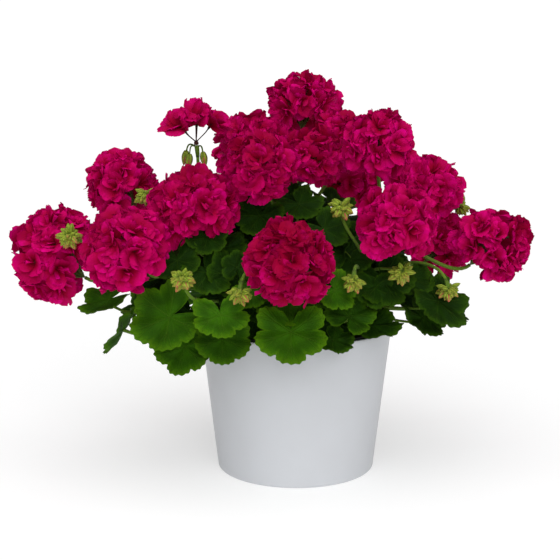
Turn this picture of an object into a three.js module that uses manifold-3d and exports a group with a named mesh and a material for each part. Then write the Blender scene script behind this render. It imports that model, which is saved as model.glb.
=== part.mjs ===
// A double-flowered zonal pelargonium in a plain white cover pot, in full bloom.
// The plant stands in a black nursery pot that sits inside the cover pot. Seven leafy shoots rise
// from the soil. Each carries round lobed leaves on thin stalks, and longer flower stalks with a
// ball of double florets or a cluster of buds at the end.
// Millimetres, +Z up. The origin is the centre of the cover pot's foot, and the plant's show side
// faces -Y.
import * as THREE from "three";
import { ConvexHull } from "three/addons/math/ConvexHull.js";
import { mergeVertices } from "three/addons/utils/BufferGeometryUtils.js";
import Module from "manifold-3d";

const wasm = await Module();
wasm.setup();

// Gap between neighbouring pieces that touch.
const CLEARANCE = 0.3;

// Cover pot.
const POT_HEIGHT = 136;
const POT_TOP_RADIUS = 90;
const POT_FOOT_RADIUS = 74;
const POT_WALL = 2.4;
const POT_FLOOR = 4;
const POT_FOOT_ROUND = 3;
const POT_SIDES = 40;

// Nursery pot inside it.
const NURSERY_TOP = POT_HEIGHT + 1.5;
const NURSERY_RIM_RADIUS = 85.6;
const NURSERY_RIM_DEPTH = 10;
const NURSERY_SHOULDER_RADIUS = 82.4;
const NURSERY_FOOT_RADIUS = 62;
const NURSERY_WALL = 1.4;
const NURSERY_SIDES = 24;

// Soil, and the plain holes that the stems stand in.
const SOIL_TOP = 124;
const SOIL_MOUND = 4;
const SOIL_SIDES = 24;
const STEM_HOLE_DEPTH = 26;

// Stems and stalks.
const STEM_FOOT_RADIUS = 5;
const STEM_TOP_RADIUS = 3.4;
const STEM_SIDES = 6;
const STEM_UPRIGHT = 4;
const STEM_KNEES = [
  { lean: 0.3, rise: 0.32 },
  { lean: 0.68, rise: 0.65 },
];
const PETIOLE_RADIUS = 1.5;
const PETIOLE_SIDES = 3;
const PETIOLE_STEPS = 2;
const PETIOLE_DROP = 0.9;
const PETIOLE_ROOT = 1;
const PETIOLE_END_BEND = 0.28;
const PETIOLE_ROOT_BEND = 0.25;
const LOWEST_NODE = 0.34;
const HIGHEST_NODE = 0.95;
const PEDUNCLE_RADIUS = 2;
const PEDUNCLE_SIDES = 4;
const PEDUNCLE_STEPS = 3;
const PEDUNCLE_BEND = 0.35;
const PEDUNCLE_SWELL = 1.1;
const BUD_STALK_RATIO = 0.8;
const FIRST_HEAD_NODE = 0.98;
const HEAD_NODE_STEP = 0.05;

// Leaf blades: lobe spacing in degrees, and shape ratios to the blade's radius.
const LOBE_SPACING = 62;
const LOBE_HALF_WIDTH = 15;
const LOBE_DEPTHS = [0.28, 0.17, 0.23];
const LOBE_ROUND = 0.55;
const BASE_ANGLE = 160;
const BASE_SHRINK = 0.12;
const BASE_SHARE = 0.12;
const BASE_CUT = 0.16;
const BLADE_CUP = 0.13;
const BLADE_PLEAT = 0.06;
const BLADE_THICKNESS = 0.8;

// Flower heads: ratios to the head's radius.
const HEAD_SPREAD = 132;
const HEAD_STRAY = 0.05;
const HEAD_OUT = 0.75;
const HEAD_UP = 0.6;
const EYE_RATIO = 0.83;
const VALLEY_RATIO = 0.72;
const HUB_RATIO = 0.74;
const OVER_REACH = 1.07;
const UNDER_REACH = 0.84;
const UNDER_RATIO = 0.93;
const SHORTEST_PETAL = 0.16;
const VALLEY_VARY = [0.95, 1.03];
const EYE_VARY = [0.96, 1.02];
const PETAL_VARY = [0.95, 1];
const OVER_TIPS = [0.22, 0.78];
const UNDER_TIPS = [0.5];

// Buds.
const BUD_LENGTH = 12;
const BUD_RADIUS = 2.7;
const BUD_BELLY = 0.55;
const BUD_VARY = [0.8, 1.1];
const BUD_SIDES = 3;
const BUD_CORE_RADIUS = 3;
const BUD_NECK = 9;
const BUD_NECK_STEPS = 2;
const BUD_LINE_POINTS = 12;
const BUD_SPREAD = 125;
const BUD_STRAY = 0.08;
const BUD_DROOP = 0.35;

const GOLDEN_ANGLE = Math.PI * (3 - Math.sqrt(5));
const UP = new THREE.Vector3(0, 0, 1);

// The shoots. foot and top are the ends of the stem. A leaf is
// [x, y, z of the point where its stalk meets the blade, blade radius, azimuth and elevation of the
// blade's face, turn of its tip], where azimuth 0 faces -Y and 90 faces +X, and turn 0 points the tip
// downhill. A head is [name, x, y, z of its centre, radius, florets, height as a share of its width].
// A bud cluster is
// [name, x, y, z of its hub, buds, lean of its axis from upright, azimuth that it leans to, share of
// the stem's length at which its stalk starts].
const SHOOTS = [
  {
    name: "shoot_front",
    foot: [-4, -34],
    top: [-6, -62, 206],
    leaves: [
      [-6, -125, 155, 33, 0, 38, 0],
      [-8, -98, 178, 31, -5, 42, 8],
      [-38, -100, 185, 19, -15, 40, -20],
      [31, -108, 187, 21, 18, 36, 30],
      [-33, -54, 245, 24, -8, 40, -20],
      [2, -40, 254, 23, 8, 52, 35],
      [24, -64, 234, 24, 14, 46, 40],
    ],
    heads: [["head_front", -7, -135, 214.5, 38, 18, 1]],
    buds: [["buds_front_left", -48, -130, 190, 8, 168, 0, 0.9]],
  },
  {
    name: "shoot_front_left",
    foot: [-30, -24],
    top: [-78, -58, 212],
    leaves: [
      [-109, -106, 164, 34.5, -14, 34, -58],
      [-98, -88, 134, 27, -12, 26, -8],
      [-65, -121, 169, 26, 4, 42, 8],
      [-64, -104, 145, 26, 6, 34, -4],
      [-77, -86, 199, 25, 10, 40, 30],
      [-52, -95, 205, 15, 10, 12, 178],
      [-64, -62, 217, 22, -10, 55, 20],
    ],
    heads: [
      ["head_front_left", -143.5, -105, 221, 39, 18, 1],
      ["head_mid_left", -90, -54, 250, 40.5, 18, 0.92],
    ],
    buds: [
      ["buds_left", -198, -75, 230, 13, 60, -20, 0.88],
      ["buds_mid_left", -95, -130, 201, 13, 10, -60, 0.5],
    ],
  },
  {
    name: "shoot_left",
    foot: [-34, 8],
    top: [-100, 4, 222],
    leaves: [
      [-170, -44, 168, 28, -42, 62, -30],
      [-148, -6, 156, 20, -60, 46, 10],
      [-157, -48, 141, 28, -96, 30, 0],
      [-158, 22, 190, 30, -100, 52, 0],
      [-140, 66, 164, 30, -118, 40, 10],
      [-130, 4, 212, 24, -95, 50, 0],
      [-122, -30, 186, 27, -40, 52, 0],
      [-106, -26, 216, 24, -14, 56, 0],
    ],
    heads: [
      ["head_far_left", -220, -20, 206, 42, 18, 1.15],
      ["head_top_left", -167, 35, 264, 36.5, 18, 1],
      ["head_back_left", -136, 130, 227, 35.5, 16, 1],
    ],
    buds: [["buds_behind_left", -137, -20, 261, 6, 30, 0, 0.85]],
  },
  {
    name: "shoot_centre",
    foot: [2, 4],
    top: [-2, 6, 246],
    leaves: [
      [-44, 4, 262, 26, -60, 64, 0],
      [34, 24, 252, 26, 60, 66, 0],
      [-14, 48, 268, 26, 170, 62, 10],
      [-34, -14, 206, 29, -30, 58, 0],
      [34, -20, 202, 29, 34, 58, 0],
      [-44, 40, 196, 28, -120, 50, 0],
      [46, 42, 194, 28, 125, 50, 0],
    ],
    heads: [
      ["head_upper_left", -40.5, 41, 307, 34, 16, 0.88],
      ["head_upper_centre", -31, -61, 286, 33, 16, 1],
      ["head_top", 8, 96, 338, 38.5, 18, 0.8],
      ["head_centre", 14, -10, 292, 31, 16, 1],
      ["head_upper_right", 44, 50, 306, 31.5, 16, 1],
    ],
    buds: [],
  },
  {
    name: "shoot_front_right",
    foot: [30, -24],
    top: [62, -62, 206],
    leaves: [
      [31, -101, 143, 19, 22, 58, 30],
      [44, -98, 163, 24, 12, 46, 150],
      [74, -80, 192, 29, 10, 36, 20],
      [65, -66, 149, 29, 20, 70, 0],
      [47, -74, 208, 20, -4, 52, 10],
    ],
    heads: [["head_front_right", 84, -100, 244, 36, 18, 0.94]],
    buds: [
      ["buds_centre_right", 37, -90, 256, 12, 16, 0, 0.9],
      ["buds_under_right", 88, -106, 203, 6, 85, 0, 0.82],
      ["buds_low_right", 47, -114, 197, 7, 168, 0, 0.74],
    ],
  },
  {
    name: "shoot_right",
    foot: [34, 10],
    top: [88, 2, 214],
    leaves: [
      [116, -36, 150, 24, 34, 44, 10],
      [126, -60, 169, 31, 36, 40, 20],
      [140, 6, 158, 30, 92, 44, 0],
      [102, -16, 224, 24, 40, 54, 10],
      [126, 58, 166, 31, 118, 46, 0],
      [100, -46, 188, 25, 24, 50, -10],
    ],
    heads: [
      ["head_right", 120, 10, 266, 36, 16, 0.85],
      ["head_far_right", 180, -20, 214, 36, 18, 1],
      ["head_mid_right", 141, 46, 208, 34, 16, 1],
      ["head_upper_far_right", 72, -42, 306, 33, 16, 1],
    ],
    buds: [
      ["buds_far_right", 134, -62, 181, 9, 165, 20, 0.66],
      ["buds_right", 158, 30, 246, 5, 75, 100, 0.9],
    ],
  },
  {
    name: "shoot_back",
    foot: [2, 36],
    top: [6, 86, 214],
    leaves: [
      [-88, 96, 152, 30, -150, 40, 0],
      [-36, 126, 148, 31, -166, 36, 10],
      [24, 128, 154, 31, 172, 38, -8],
      [78, 104, 148, 30, 148, 40, 0],
      [-70, 112, 198, 29, -156, 54, 0],
      [58, 124, 184, 28, 155, 46, 0],
      [16, 112, 232, 26, 170, 56, 0],
      [-52, 70, 226, 26, -140, 64, 20],
      [46, 62, 232, 24, 130, 60, -20],
    ],
    heads: [
      ["head_back_top", -51, 126, 285, 34, 16, 1],
      ["head_back", -3, 150, 200, 36, 18, 1],
      ["head_back_right", 116, 130, 216, 35.5, 16, 1],
      ["head_behind_right", 59, 110, 263, 32, 16, 1],
    ],
    buds: [],
  },
];

// The umbel that is just opening: a few open florets on bare flower stalks, and below them the green
// end of its stalk, with hanging buds [x, y, z of the belly, x, y, z of the tip] from that end.
const OPENING_SHOOT = "shoot_left";
const OPENING_NODE = 0.8;
const OPENING_HUB = [-93, 8, 307.5];
const OPENING_LEAN = [-0.12, -0.1, 1];
const OPENING_HUB_RADIUS = 2.4;
const OPENING_FLORETS = 5;
const OPENING_STRAY = 0.04;
const OPENING_REACH = 22;
const OPENING_SPREAD = 70;
const OPENING_TURN = -60;
const OPENING_PETALS = 5;
const OPENING_FLORET_RADIUS = 16.5;
const OPENING_FLORET_DEPTH = 13;
const OPENING_THROAT = 0.3;
const OPENING_CUT = { reach: 0.6, rise: 0.8 };
const OPENING_STALK_RADIUS = 0.9;
const HANGING_RADIUS = 3;
const HANGING_BUDS = [
  [-7, -3, -10, -8, -3, -20],
  [-11, 3, -8, -13, 4, -17],
  [6.5, -4, -9, 8, -5, -18],
];

const COLOURS = {
  petal: new THREE.MeshStandardMaterial({ color: 0xa8024f, roughness: 0.55, metalness: 0 }),
  leaf: new THREE.MeshStandardMaterial({ color: 0x2d5a12, roughness: 0.6, metalness: 0 }),
  bud: new THREE.MeshStandardMaterial({ color: 0x93a63a, roughness: 0.6, metalness: 0 }),
  pot: new THREE.MeshStandardMaterial({ color: 0xd4d6da, roughness: 0.4, metalness: 0 }),
  nursery: new THREE.MeshStandardMaterial({ color: 0x141416, roughness: 0.5, metalness: 0 }),
  soil: new THREE.MeshStandardMaterial({ color: 0x2c1f17, roughness: 0.95, metalness: 0 }),
};

// A small seeded dice, the same on every run.
class Dice {
  constructor(seed) {
    this.state = seed;
  }

  roll(low, high) {
    this.state = (this.state * 1664525 + 1013904223) % 4294967296;
    return low + ((high - low) * this.state) / 4294967296;
  }
}

const radians = THREE.MathUtils.degToRad;

function vector(xyz) {
  return new THREE.Vector3(...xyz);
}

// A closed solid from its corners and its triangles.
function solidOf(corners, faces) {
  const vertProperties = new Float32Array(corners.flatMap((p) => p.toArray()));
  const triVerts = new Uint32Array(faces.flat());
  return new wasm.Manifold(new wasm.Mesh({ numProp: 3, vertProperties, triVerts }));
}

// A closed solid from a three.js geometry.
function solidOfGeometry(geometry) {
  const bare = geometry.clone();
  bare.deleteAttribute("normal");
  bare.deleteAttribute("uv");
  const merged = mergeVertices(bare, 1e-3);
  const triVerts = new Uint32Array(merged.index.array);
  return new wasm.Manifold(
    new wasm.Mesh({ numProp: 3, vertProperties: merged.attributes.position.array, triVerts }),
  );
}

function fuse(solids) {
  return wasm.Manifold.union(solids);
}

function meshOf(name, solid, material) {
  const { numProp, numVert, vertProperties, triVerts } = solid.getMesh();
  const position = new Float32Array(numVert * 3);
  for (let i = 0; i < numVert; i++) {
    position.set(vertProperties.subarray(i * numProp, i * numProp + 3), i * 3);
  }
  const geometry = new THREE.BufferGeometry();
  geometry.setAttribute("position", new THREE.BufferAttribute(position, 3));
  geometry.setIndex(new THREE.BufferAttribute(triVerts, 1));
  geometry.computeVertexNormals();
  const mesh = new THREE.Mesh(geometry, material);
  mesh.name = name;
  return mesh;
}

// A turned solid from its [radius, height] profile, which starts and ends on the axis.
function turned(profile, sides) {
  const points = profile.map(([r, z]) => new THREE.Vector2(r, z));
  const geometry = new THREE.LatheGeometry(points, sides);
  geometry.rotateX(Math.PI / 2);
  return solidOfGeometry(geometry);
}

// Rings of corners along a curve, from radius r0 to radius r1. The first ring's corners start at
// the given normal, and each ring turns as little as it can from the one before.
function sweptRings(curve, r0, r1, sides, steps, firstNormal) {
  const rings = [];
  const normal = firstNormal.clone();
  let tangent = curve.getTangent(0);
  for (let i = 0; i <= steps; i++) {
    const centre = curve.getPoint(i / steps);
    const next = curve.getTangent(i / steps);
    normal.applyQuaternion(new THREE.Quaternion().setFromUnitVectors(tangent, next));
    tangent = next;
    const across = tangent.clone().cross(normal);
    const radius = r0 + ((r1 - r0) * i) / steps;
    for (let k = 0; k < sides; k++) {
      const angle = (2 * Math.PI * k) / sides;
      rings.push(
        centre
          .clone()
          .addScaledVector(normal, radius * Math.cos(angle))
          .addScaledVector(across, radius * Math.sin(angle)),
      );
    }
  }
  return rings;
}

// Side faces between neighbouring rings, and the face that closes the last ring.
function ringFaces(sides, steps, first) {
  const faces = [];
  for (let i = 0; i < steps; i++) {
    for (let k = 0; k < sides; k++) {
      const a = first + i * sides + k;
      const b = first + i * sides + ((k + 1) % sides);
      faces.push([a, b, b + sides], [a, b + sides, a + sides]);
    }
  }
  const last = first + steps * sides;
  for (let k = 1; k < sides - 1; k++) {
    faces.push([last, last + k, last + k + 1]);
  }
  return faces;
}

// A tapered round stalk along a curve, from radius r0 to radius r1.
function stalk(curve, r0, r1, sides, steps) {
  const normal = new THREE.Vector3(1, 0, 0).cross(curve.getTangent(0)).normalize();
  const corners = sweptRings(curve, r0, r1, sides, steps, normal);
  const faces = ringFaces(sides, steps, 0);
  for (let k = 1; k < sides - 1; k++) {
    faces.push([0, k + 1, k]);
  }
  return solidOf(corners, faces);
}

// Edge of a blade of radius 1 at an angle in degrees from its tip: lobes, and a deep cut at the stalk.
function bladeEdge(degrees, depth) {
  const away = Math.abs(degrees) / 180;
  const wave = Math.abs(Math.cos(radians((180 * degrees) / LOBE_SPACING)));
  const lobes = 1 - depth * (1 - wave ** LOBE_ROUND);
  const cut = THREE.MathUtils.smoothstep(1 - away, 0, BASE_CUT);
  return lobes * (1 - BASE_SHRINK * away * away) * (BASE_SHARE + (1 - BASE_SHARE) * cut);
}

// Height of the blade's upper face over its flat, at a share of its radius.
function bladeRise(degrees, share) {
  const pleat = BLADE_PLEAT * Math.cos(radians((360 * degrees) / LOBE_SPACING));
  return BLADE_CUP * share * share + pleat * share;
}

// The angles at which a coarse blade has its corners: blunt lobes and the cuts between them.
function bladeAngles() {
  const angles = [];
  for (const lobe of [-2, -1, 0, 1, 2]) {
    const middle = lobe * LOBE_SPACING;
    angles.push(middle - LOBE_HALF_WIDTH, middle + LOBE_HALF_WIDTH);
    if (lobe < 2) angles.push(middle + LOBE_SPACING / 2);
  }
  return [-BASE_ANGLE, ...angles, BASE_ANGLE, 180];
}

// The blade's own directions: face is the way it looks, tip points from the stalk to the end lobe.
function bladeAxes(azimuth, elevation, turn) {
  const az = radians(azimuth);
  const el = radians(elevation);
  const face = new THREE.Vector3(
    Math.sin(az) * Math.cos(el),
    -Math.cos(az) * Math.cos(el),
    Math.sin(el),
  );
  const downhill = new THREE.Vector3(
    Math.sin(az) * Math.sin(el),
    -Math.cos(az) * Math.sin(el),
    -Math.cos(el),
  );
  const tip = downhill.applyAxisAngle(face, radians(turn));
  return { face, tip, side: face.clone().cross(tip) };
}

// The line of a leaf's stalk, from the underside of its blade down to its node on the stem.
function petioleCurve(stem, [x, y, z, radius], face) {
  const end = vector([x, y, z]).addScaledVector(face, -BLADE_THICKNESS);
  const lowest = stem.getPoint(0).z;
  const highest = stem.getPoint(1).z;
  const share = (z - PETIOLE_DROP * radius - lowest) / (highest - lowest);
  const start = stem.getPoint(THREE.MathUtils.clamp(share, LOWEST_NODE, HIGHEST_NODE));
  const run = start.distanceTo(end);
  const out = new THREE.Vector3(end.x - start.x, end.y - start.y, 0).normalize();
  start.addScaledVector(out, PETIOLE_ROOT);
  return new THREE.CubicBezierCurve3(
    end,
    end.clone().addScaledVector(face, -PETIOLE_END_BEND * run),
    start.clone().addScaledVector(out.add(UP), PETIOLE_ROOT_BEND * run),
    start,
  );
}

// Faces from a rim with its corners at these angles in degrees to the three corners that its stalk
// starts with. The stalk leaves downwards, so its corners run the other way round.
function rimToStalk(angles, rim, first) {
  const n = angles.length;
  const gaps = angles.map((angle, i) => {
    const following = i === n - 1 ? angles[0] + 360 : angles[i + 1];
    const step = Math.round((angle + following) / 2 / (360 / PETIOLE_SIDES));
    return first + ((2 * PETIOLE_SIDES - step) % PETIOLE_SIDES);
  });
  return gaps.flatMap((near, i) => {
    const j = (i + 1) % n;
    const face = [near, rim + j, rim + i];
    return near === gaps[j] ? [face] : [face, [near, gaps[j], rim + j]];
  });
}

// A leaf: a thin cupped blade with lobes of a given depth, whose underside runs out into its stalk.
function leaf(stem, row, depth) {
  const [x, y, z, radius, azimuth, elevation, turn] = row;
  const { face, tip, side } = bladeAxes(azimuth, elevation, turn);
  const angles = bladeAngles();
  const n = angles.length;
  const place = (along, across, rise) =>
    vector([x, y, z])
      .addScaledVector(tip, along)
      .addScaledVector(side, across)
      .addScaledVector(face, rise);
  const corners = [];
  for (const under of [0, BLADE_THICKNESS]) {
    for (const degrees of angles) {
      const edge = bladeEdge(degrees, depth);
      const along = radius * edge * Math.cos(radians(degrees));
      const across = radius * edge * Math.sin(radians(degrees));
      corners.push(place(along, across, radius * bladeRise(degrees, edge) - under));
    }
  }
  const centre = corners.push(place(0, 0, 0)) - 1;
  const curve = petioleCurve(stem, row, face);
  const first = corners.length;
  corners.push(...sweptRings(curve, PETIOLE_RADIUS, PETIOLE_RADIUS, PETIOLE_SIDES, PETIOLE_STEPS, tip));
  const faces = ringFaces(PETIOLE_SIDES, PETIOLE_STEPS, first);
  for (let i = 0; i < n; i++) {
    const j = (i + 1) % n;
    faces.push([centre, i, j], [i, n + i, n + j], [i, n + j, j]);
  }
  faces.push(...rimToStalk(angles, n, first));
  return solidOf(corners, faces);
}

// The way a head looks: away from its shoot and upwards.
function headAxis(stem, centre) {
  const out = centre.clone().sub(stem.getPoint(0.9)).normalize();
  return out.multiplyScalar(HEAD_OUT).addScaledVector(UP, HEAD_UP).normalize();
}

// The line of a flower stalk from its shoot to its hub, which it reaches along the axis.
function peduncleCurve(stem, share, hub, axis) {
  const start = stem.getPoint(share);
  const run = start.distanceTo(hub);
  return new THREE.CubicBezierCurve3(
    start,
    start.clone().addScaledVector(stem.getTangent(share), PEDUNCLE_BEND * run),
    hub.clone().addScaledVector(axis, -PEDUNCLE_BEND * run),
    hub,
  );
}

// Even directions round +Z, out to an angle in degrees, each a little off its place.
function directions(count, spread, dice, stray) {
  const made = [];
  for (let i = 0; i < count; i++) {
    const z = 1 - ((i + 0.5) / count) * (1 - Math.cos(radians(spread)));
    const r = Math.sqrt(1 - z * z);
    const angle = i * GOLDEN_ANGLE;
    const site = new THREE.Vector3(r * Math.cos(angle), r * Math.sin(angle), z);
    site.x += dice.roll(-stray, stray);
    site.y += dice.roll(-stray, stray);
    site.z += dice.roll(-stray, stray);
    made.push(site.normalize());
  }
  return made;
}

// For each site on the unit sphere, the ring of its neighbours and of the corners between them.
function cellsOf(sites) {
  const index = new Map(sites.map((site, i) => [site, i]));
  const corners = [];
  const after = sites.map(() => new Map());
  for (const face of new ConvexHull().setFromPoints(sites).faces) {
    const ring = [face.getEdge(0), face.getEdge(1), face.getEdge(2)];
    const [a, b, c] = ring.map((edge) => index.get(edge.head().point));
    const corner = corners.push(face.normal.clone().normalize()) - 1;
    after[a].set(b, { corner, next: c });
    after[b].set(c, { corner, next: a });
    after[c].set(a, { corner, next: b });
  }
  const rings = after.map((steps) => {
    const ring = [];
    let site = steps.keys().next().value;
    while (ring.length < steps.size) {
      const { corner, next } = steps.get(site);
      ring.push({ corner, neighbour: next });
      site = next;
    }
    return ring;
  });
  return { corners, rings };
}

// A ball of double florets. Each floret is a cell of the ball: a sunk eye with a petal towards each
// neighbour, and a deep valley round it. Of two petals that meet, the broad one leans over the other.
function flowerHead([name, x, y, z, radius, florets, height], axis, dice) {
  const sites = directions(florets, HEAD_SPREAD, dice, HEAD_STRAY);
  sites.push(new THREE.Vector3(0, 0, -1));
  const base = florets;
  const { corners: valleys, rings } = cellsOf(sites);
  const upright = new THREE.Quaternion().setFromUnitVectors(UP, axis);
  const centre = vector([x, y, z]);
  const place = (direction, ratio) => {
    const reach = direction.clone().applyQuaternion(upright).multiplyScalar(radius * ratio);
    return reach.setZ(height * reach.z).add(centre);
  };
  const corners = valleys.map((valley) => place(valley, VALLEY_RATIO * dice.roll(...VALLEY_VARY)));
  const faces = [];
  sites.forEach((site, i) => {
    const middle = i === base ? HUB_RATIO : EYE_RATIO * dice.roll(...EYE_VARY);
    const eye = corners.push(place(site, middle)) - 1;
    rings[i].forEach(({ corner: left, neighbour }, k) => {
      const right = rings[i][(k + 1) % rings[i].length].corner;
      const width = valleys[left].distanceTo(valleys[right]);
      if (i === base || width < SHORTEST_PETAL) {
        faces.push([eye, left, right]);
        return;
      }
      const over = neighbour === base || (i + neighbour) % 2 === (i < neighbour ? 0 : 1);
      const reach = over ? OVER_REACH : UNDER_REACH;
      const ratio = (over ? 1 : UNDER_RATIO) * dice.roll(...PETAL_VARY);
      const tips = (over ? OVER_TIPS : UNDER_TIPS).map((share) => {
        const edge = valleys[left].clone().lerp(valleys[right], share).normalize();
        return corners.push(place(site.clone().lerp(edge, reach).normalize(), ratio)) - 1;
      });
      const first = tips[0];
      const last = tips[tips.length - 1];
      faces.push([eye, left, first], [eye, last, right], [left, right, last]);
      if (over) faces.push([eye, first, last], [left, last, first]);
    });
  });
  return meshOf(name, solidOf(corners, faces), COLOURS.petal);
}

// One open floret on its stalk: a lobed funnel, its throat sunk in the middle.
function openFloret(hub, axis, dice) {
  const upright = new THREE.Quaternion().setFromUnitVectors(UP, axis);
  const place = (x, y, z) => new THREE.Vector3(x, y, z).applyQuaternion(upright).add(hub);
  const count = 3 * OPENING_PETALS;
  const angles = [];
  const corners = [];
  for (let k = 0; k < count; k++) {
    const cut = k % 3 === 0;
    const angle = (360 * k) / count;
    const reach = OPENING_FLORET_RADIUS * (cut ? OPENING_CUT.reach : dice.roll(0.92, 1.05));
    const rise = OPENING_FLORET_DEPTH * (cut ? OPENING_CUT.rise : dice.roll(0.8, 1.15));
    const across = reach * Math.cos(radians(angle));
    corners.push(place(across, reach * Math.sin(radians(angle)), OPENING_REACH + rise));
    angles.push(angle);
  }
  const sunk = OPENING_REACH + OPENING_THROAT * OPENING_FLORET_DEPTH;
  const throat = corners.push(place(0, 0, sunk)) - 1;
  const root = hub.clone().addScaledVector(axis, OPENING_REACH);
  const stem = new THREE.LineCurve3(root, hub);
  const first = corners.length;
  const across = place(1, 0, 0).sub(hub);
  corners.push(...sweptRings(stem, OPENING_STALK_RADIUS, OPENING_STALK_RADIUS, PETIOLE_SIDES, 1, across));
  const faces = ringFaces(PETIOLE_SIDES, 1, first);
  for (let k = 0; k < count; k++) {
    faces.push([throat, k, (k + 1) % count]);
  }
  faces.push(...rimToStalk(angles, 0, first));
  return solidOf(corners, faces);
}

// A small knob that the stalks round it run into.
function knob(centre, radius) {
  return solidOfGeometry(new THREE.OctahedronGeometry(radius, 0).translate(...centre.toArray()));
}

// The opening umbel: a few open florets, whose stalks meet in the hub.
function openingUmbel(hub, axis) {
  const dice = new Dice(77);
  const upright = new THREE.Quaternion().setFromUnitVectors(UP, axis);
  const parts = [knob(hub, OPENING_HUB_RADIUS)];
  for (const direction of directions(OPENING_FLORETS, OPENING_SPREAD, dice, OPENING_STRAY)) {
    direction.applyAxisAngle(UP, radians(OPENING_TURN)).applyQuaternion(upright);
    parts.push(openFloret(hub, direction, dice));
  }
  return meshOf("head_opening", fuse(parts), COLOURS.petal);
}

// One bud: a spindle from its root through its belly to its tip.
function bud(root, belly, tip, radius) {
  const upright = new THREE.Quaternion().setFromUnitVectors(UP, tip.clone().sub(root).normalize());
  const corners = [root.clone(), tip.clone()];
  const faces = [];
  for (let k = 0; k < BUD_SIDES; k++) {
    const angle = (2 * Math.PI * k) / BUD_SIDES;
    const side = new THREE.Vector3(radius * Math.cos(angle), radius * Math.sin(angle), 0);
    corners.push(side.applyQuaternion(upright).add(belly));
    const next = 2 + ((k + 1) % BUD_SIDES);
    faces.push([0, next, 2 + k], [1, 2 + k, next]);
  }
  return solidOf(corners, faces);
}

// The last stretch of a flower stalk, which carries the buds.
function neck(curve) {
  const length = curve.getLength();
  const points = [1, 0.5, 0].map((share) => curve.getPointAt(1 - (BUD_NECK * share) / length));
  const radius = PEDUNCLE_RADIUS * BUD_STALK_RATIO;
  return stalk(new THREE.CatmullRomCurve3(points), radius, radius, PEDUNCLE_SIDES, BUD_NECK_STEPS);
}

// The same stalk from the shoot to just below that stretch.
function belowNeck(curve) {
  const share = 1 - (BUD_NECK + 3 * CLEARANCE) / curve.getLength();
  const whole = curve.getSpacedPoints(BUD_LINE_POINTS);
  const lower = whole.slice(0, 1 + Math.floor(share * BUD_LINE_POINTS));
  lower.push(curve.getPointAt(share));
  const line = new THREE.CatmullRomCurve3(lower);
  const end = PEDUNCLE_RADIUS * BUD_STALK_RATIO;
  return stalk(line, PEDUNCLE_RADIUS, end, PEDUNCLE_SIDES, PEDUNCLE_STEPS);
}

// The green end of the opening umbel's stalk, with its hanging buds.
function hangingBuds(curve) {
  const hub = curve.getPoint(1);
  const parts = [neck(curve), knob(hub, OPENING_HUB_RADIUS)];
  for (const row of HANGING_BUDS) {
    const belly = vector(row.slice(0, 3)).add(hub);
    parts.push(bud(hub, belly, vector(row.slice(3)).add(hub), HANGING_RADIUS));
  }
  return meshOf("buds_opening", fuse(parts), COLOURS.bud);
}

// The way a bud cluster's stalk points at its hub.
function budAxis(lean, azimuth) {
  const out = Math.sin(radians(lean));
  const az = radians(azimuth);
  return new THREE.Vector3(out * Math.sin(az), -out * Math.cos(az), Math.cos(radians(lean)));
}

// A cluster of buds round a hub, with the last stretch of its stalk.
function budCluster([name, x, y, z, buds, lean, azimuth], curve) {
  const dice = new Dice(buds * 13 + 5);
  const hub = vector([x, y, z]);
  const upright = new THREE.Quaternion().setFromUnitVectors(UP, budAxis(lean, azimuth));
  const parts = [neck(curve), knob(hub, BUD_CORE_RADIUS)];
  for (const direction of directions(buds, BUD_SPREAD, dice, BUD_STRAY)) {
    const way = direction.applyQuaternion(upright).addScaledVector(UP, -BUD_DROOP).normalize();
    const size = dice.roll(...BUD_VARY);
    const tip = hub.clone().addScaledVector(way, size * BUD_LENGTH);
    parts.push(bud(hub, hub.clone().lerp(tip, BUD_BELLY), tip, size * BUD_RADIUS));
  }
  return meshOf(name, fuse(parts), COLOURS.bud);
}

// The line of a shoot's stem: upright in its hole in the soil, then leaning out to its top.
function stemCurve({ foot: [x, y], top }) {
  const knees = STEM_KNEES.map(
    ({ lean, rise }) =>
      new THREE.Vector3(
        x + lean * (top[0] - x),
        y + lean * (top[1] - y),
        SOIL_TOP + rise * (top[2] - SOIL_TOP),
      ),
  );
  return new THREE.CatmullRomCurve3([
    new THREE.Vector3(x, y, SOIL_TOP - STEM_HOLE_DEPTH + CLEARANCE),
    new THREE.Vector3(x, y, SOIL_TOP + STEM_UPRIGHT),
    ...knees,
    vector(top),
  ]);
}

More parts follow.
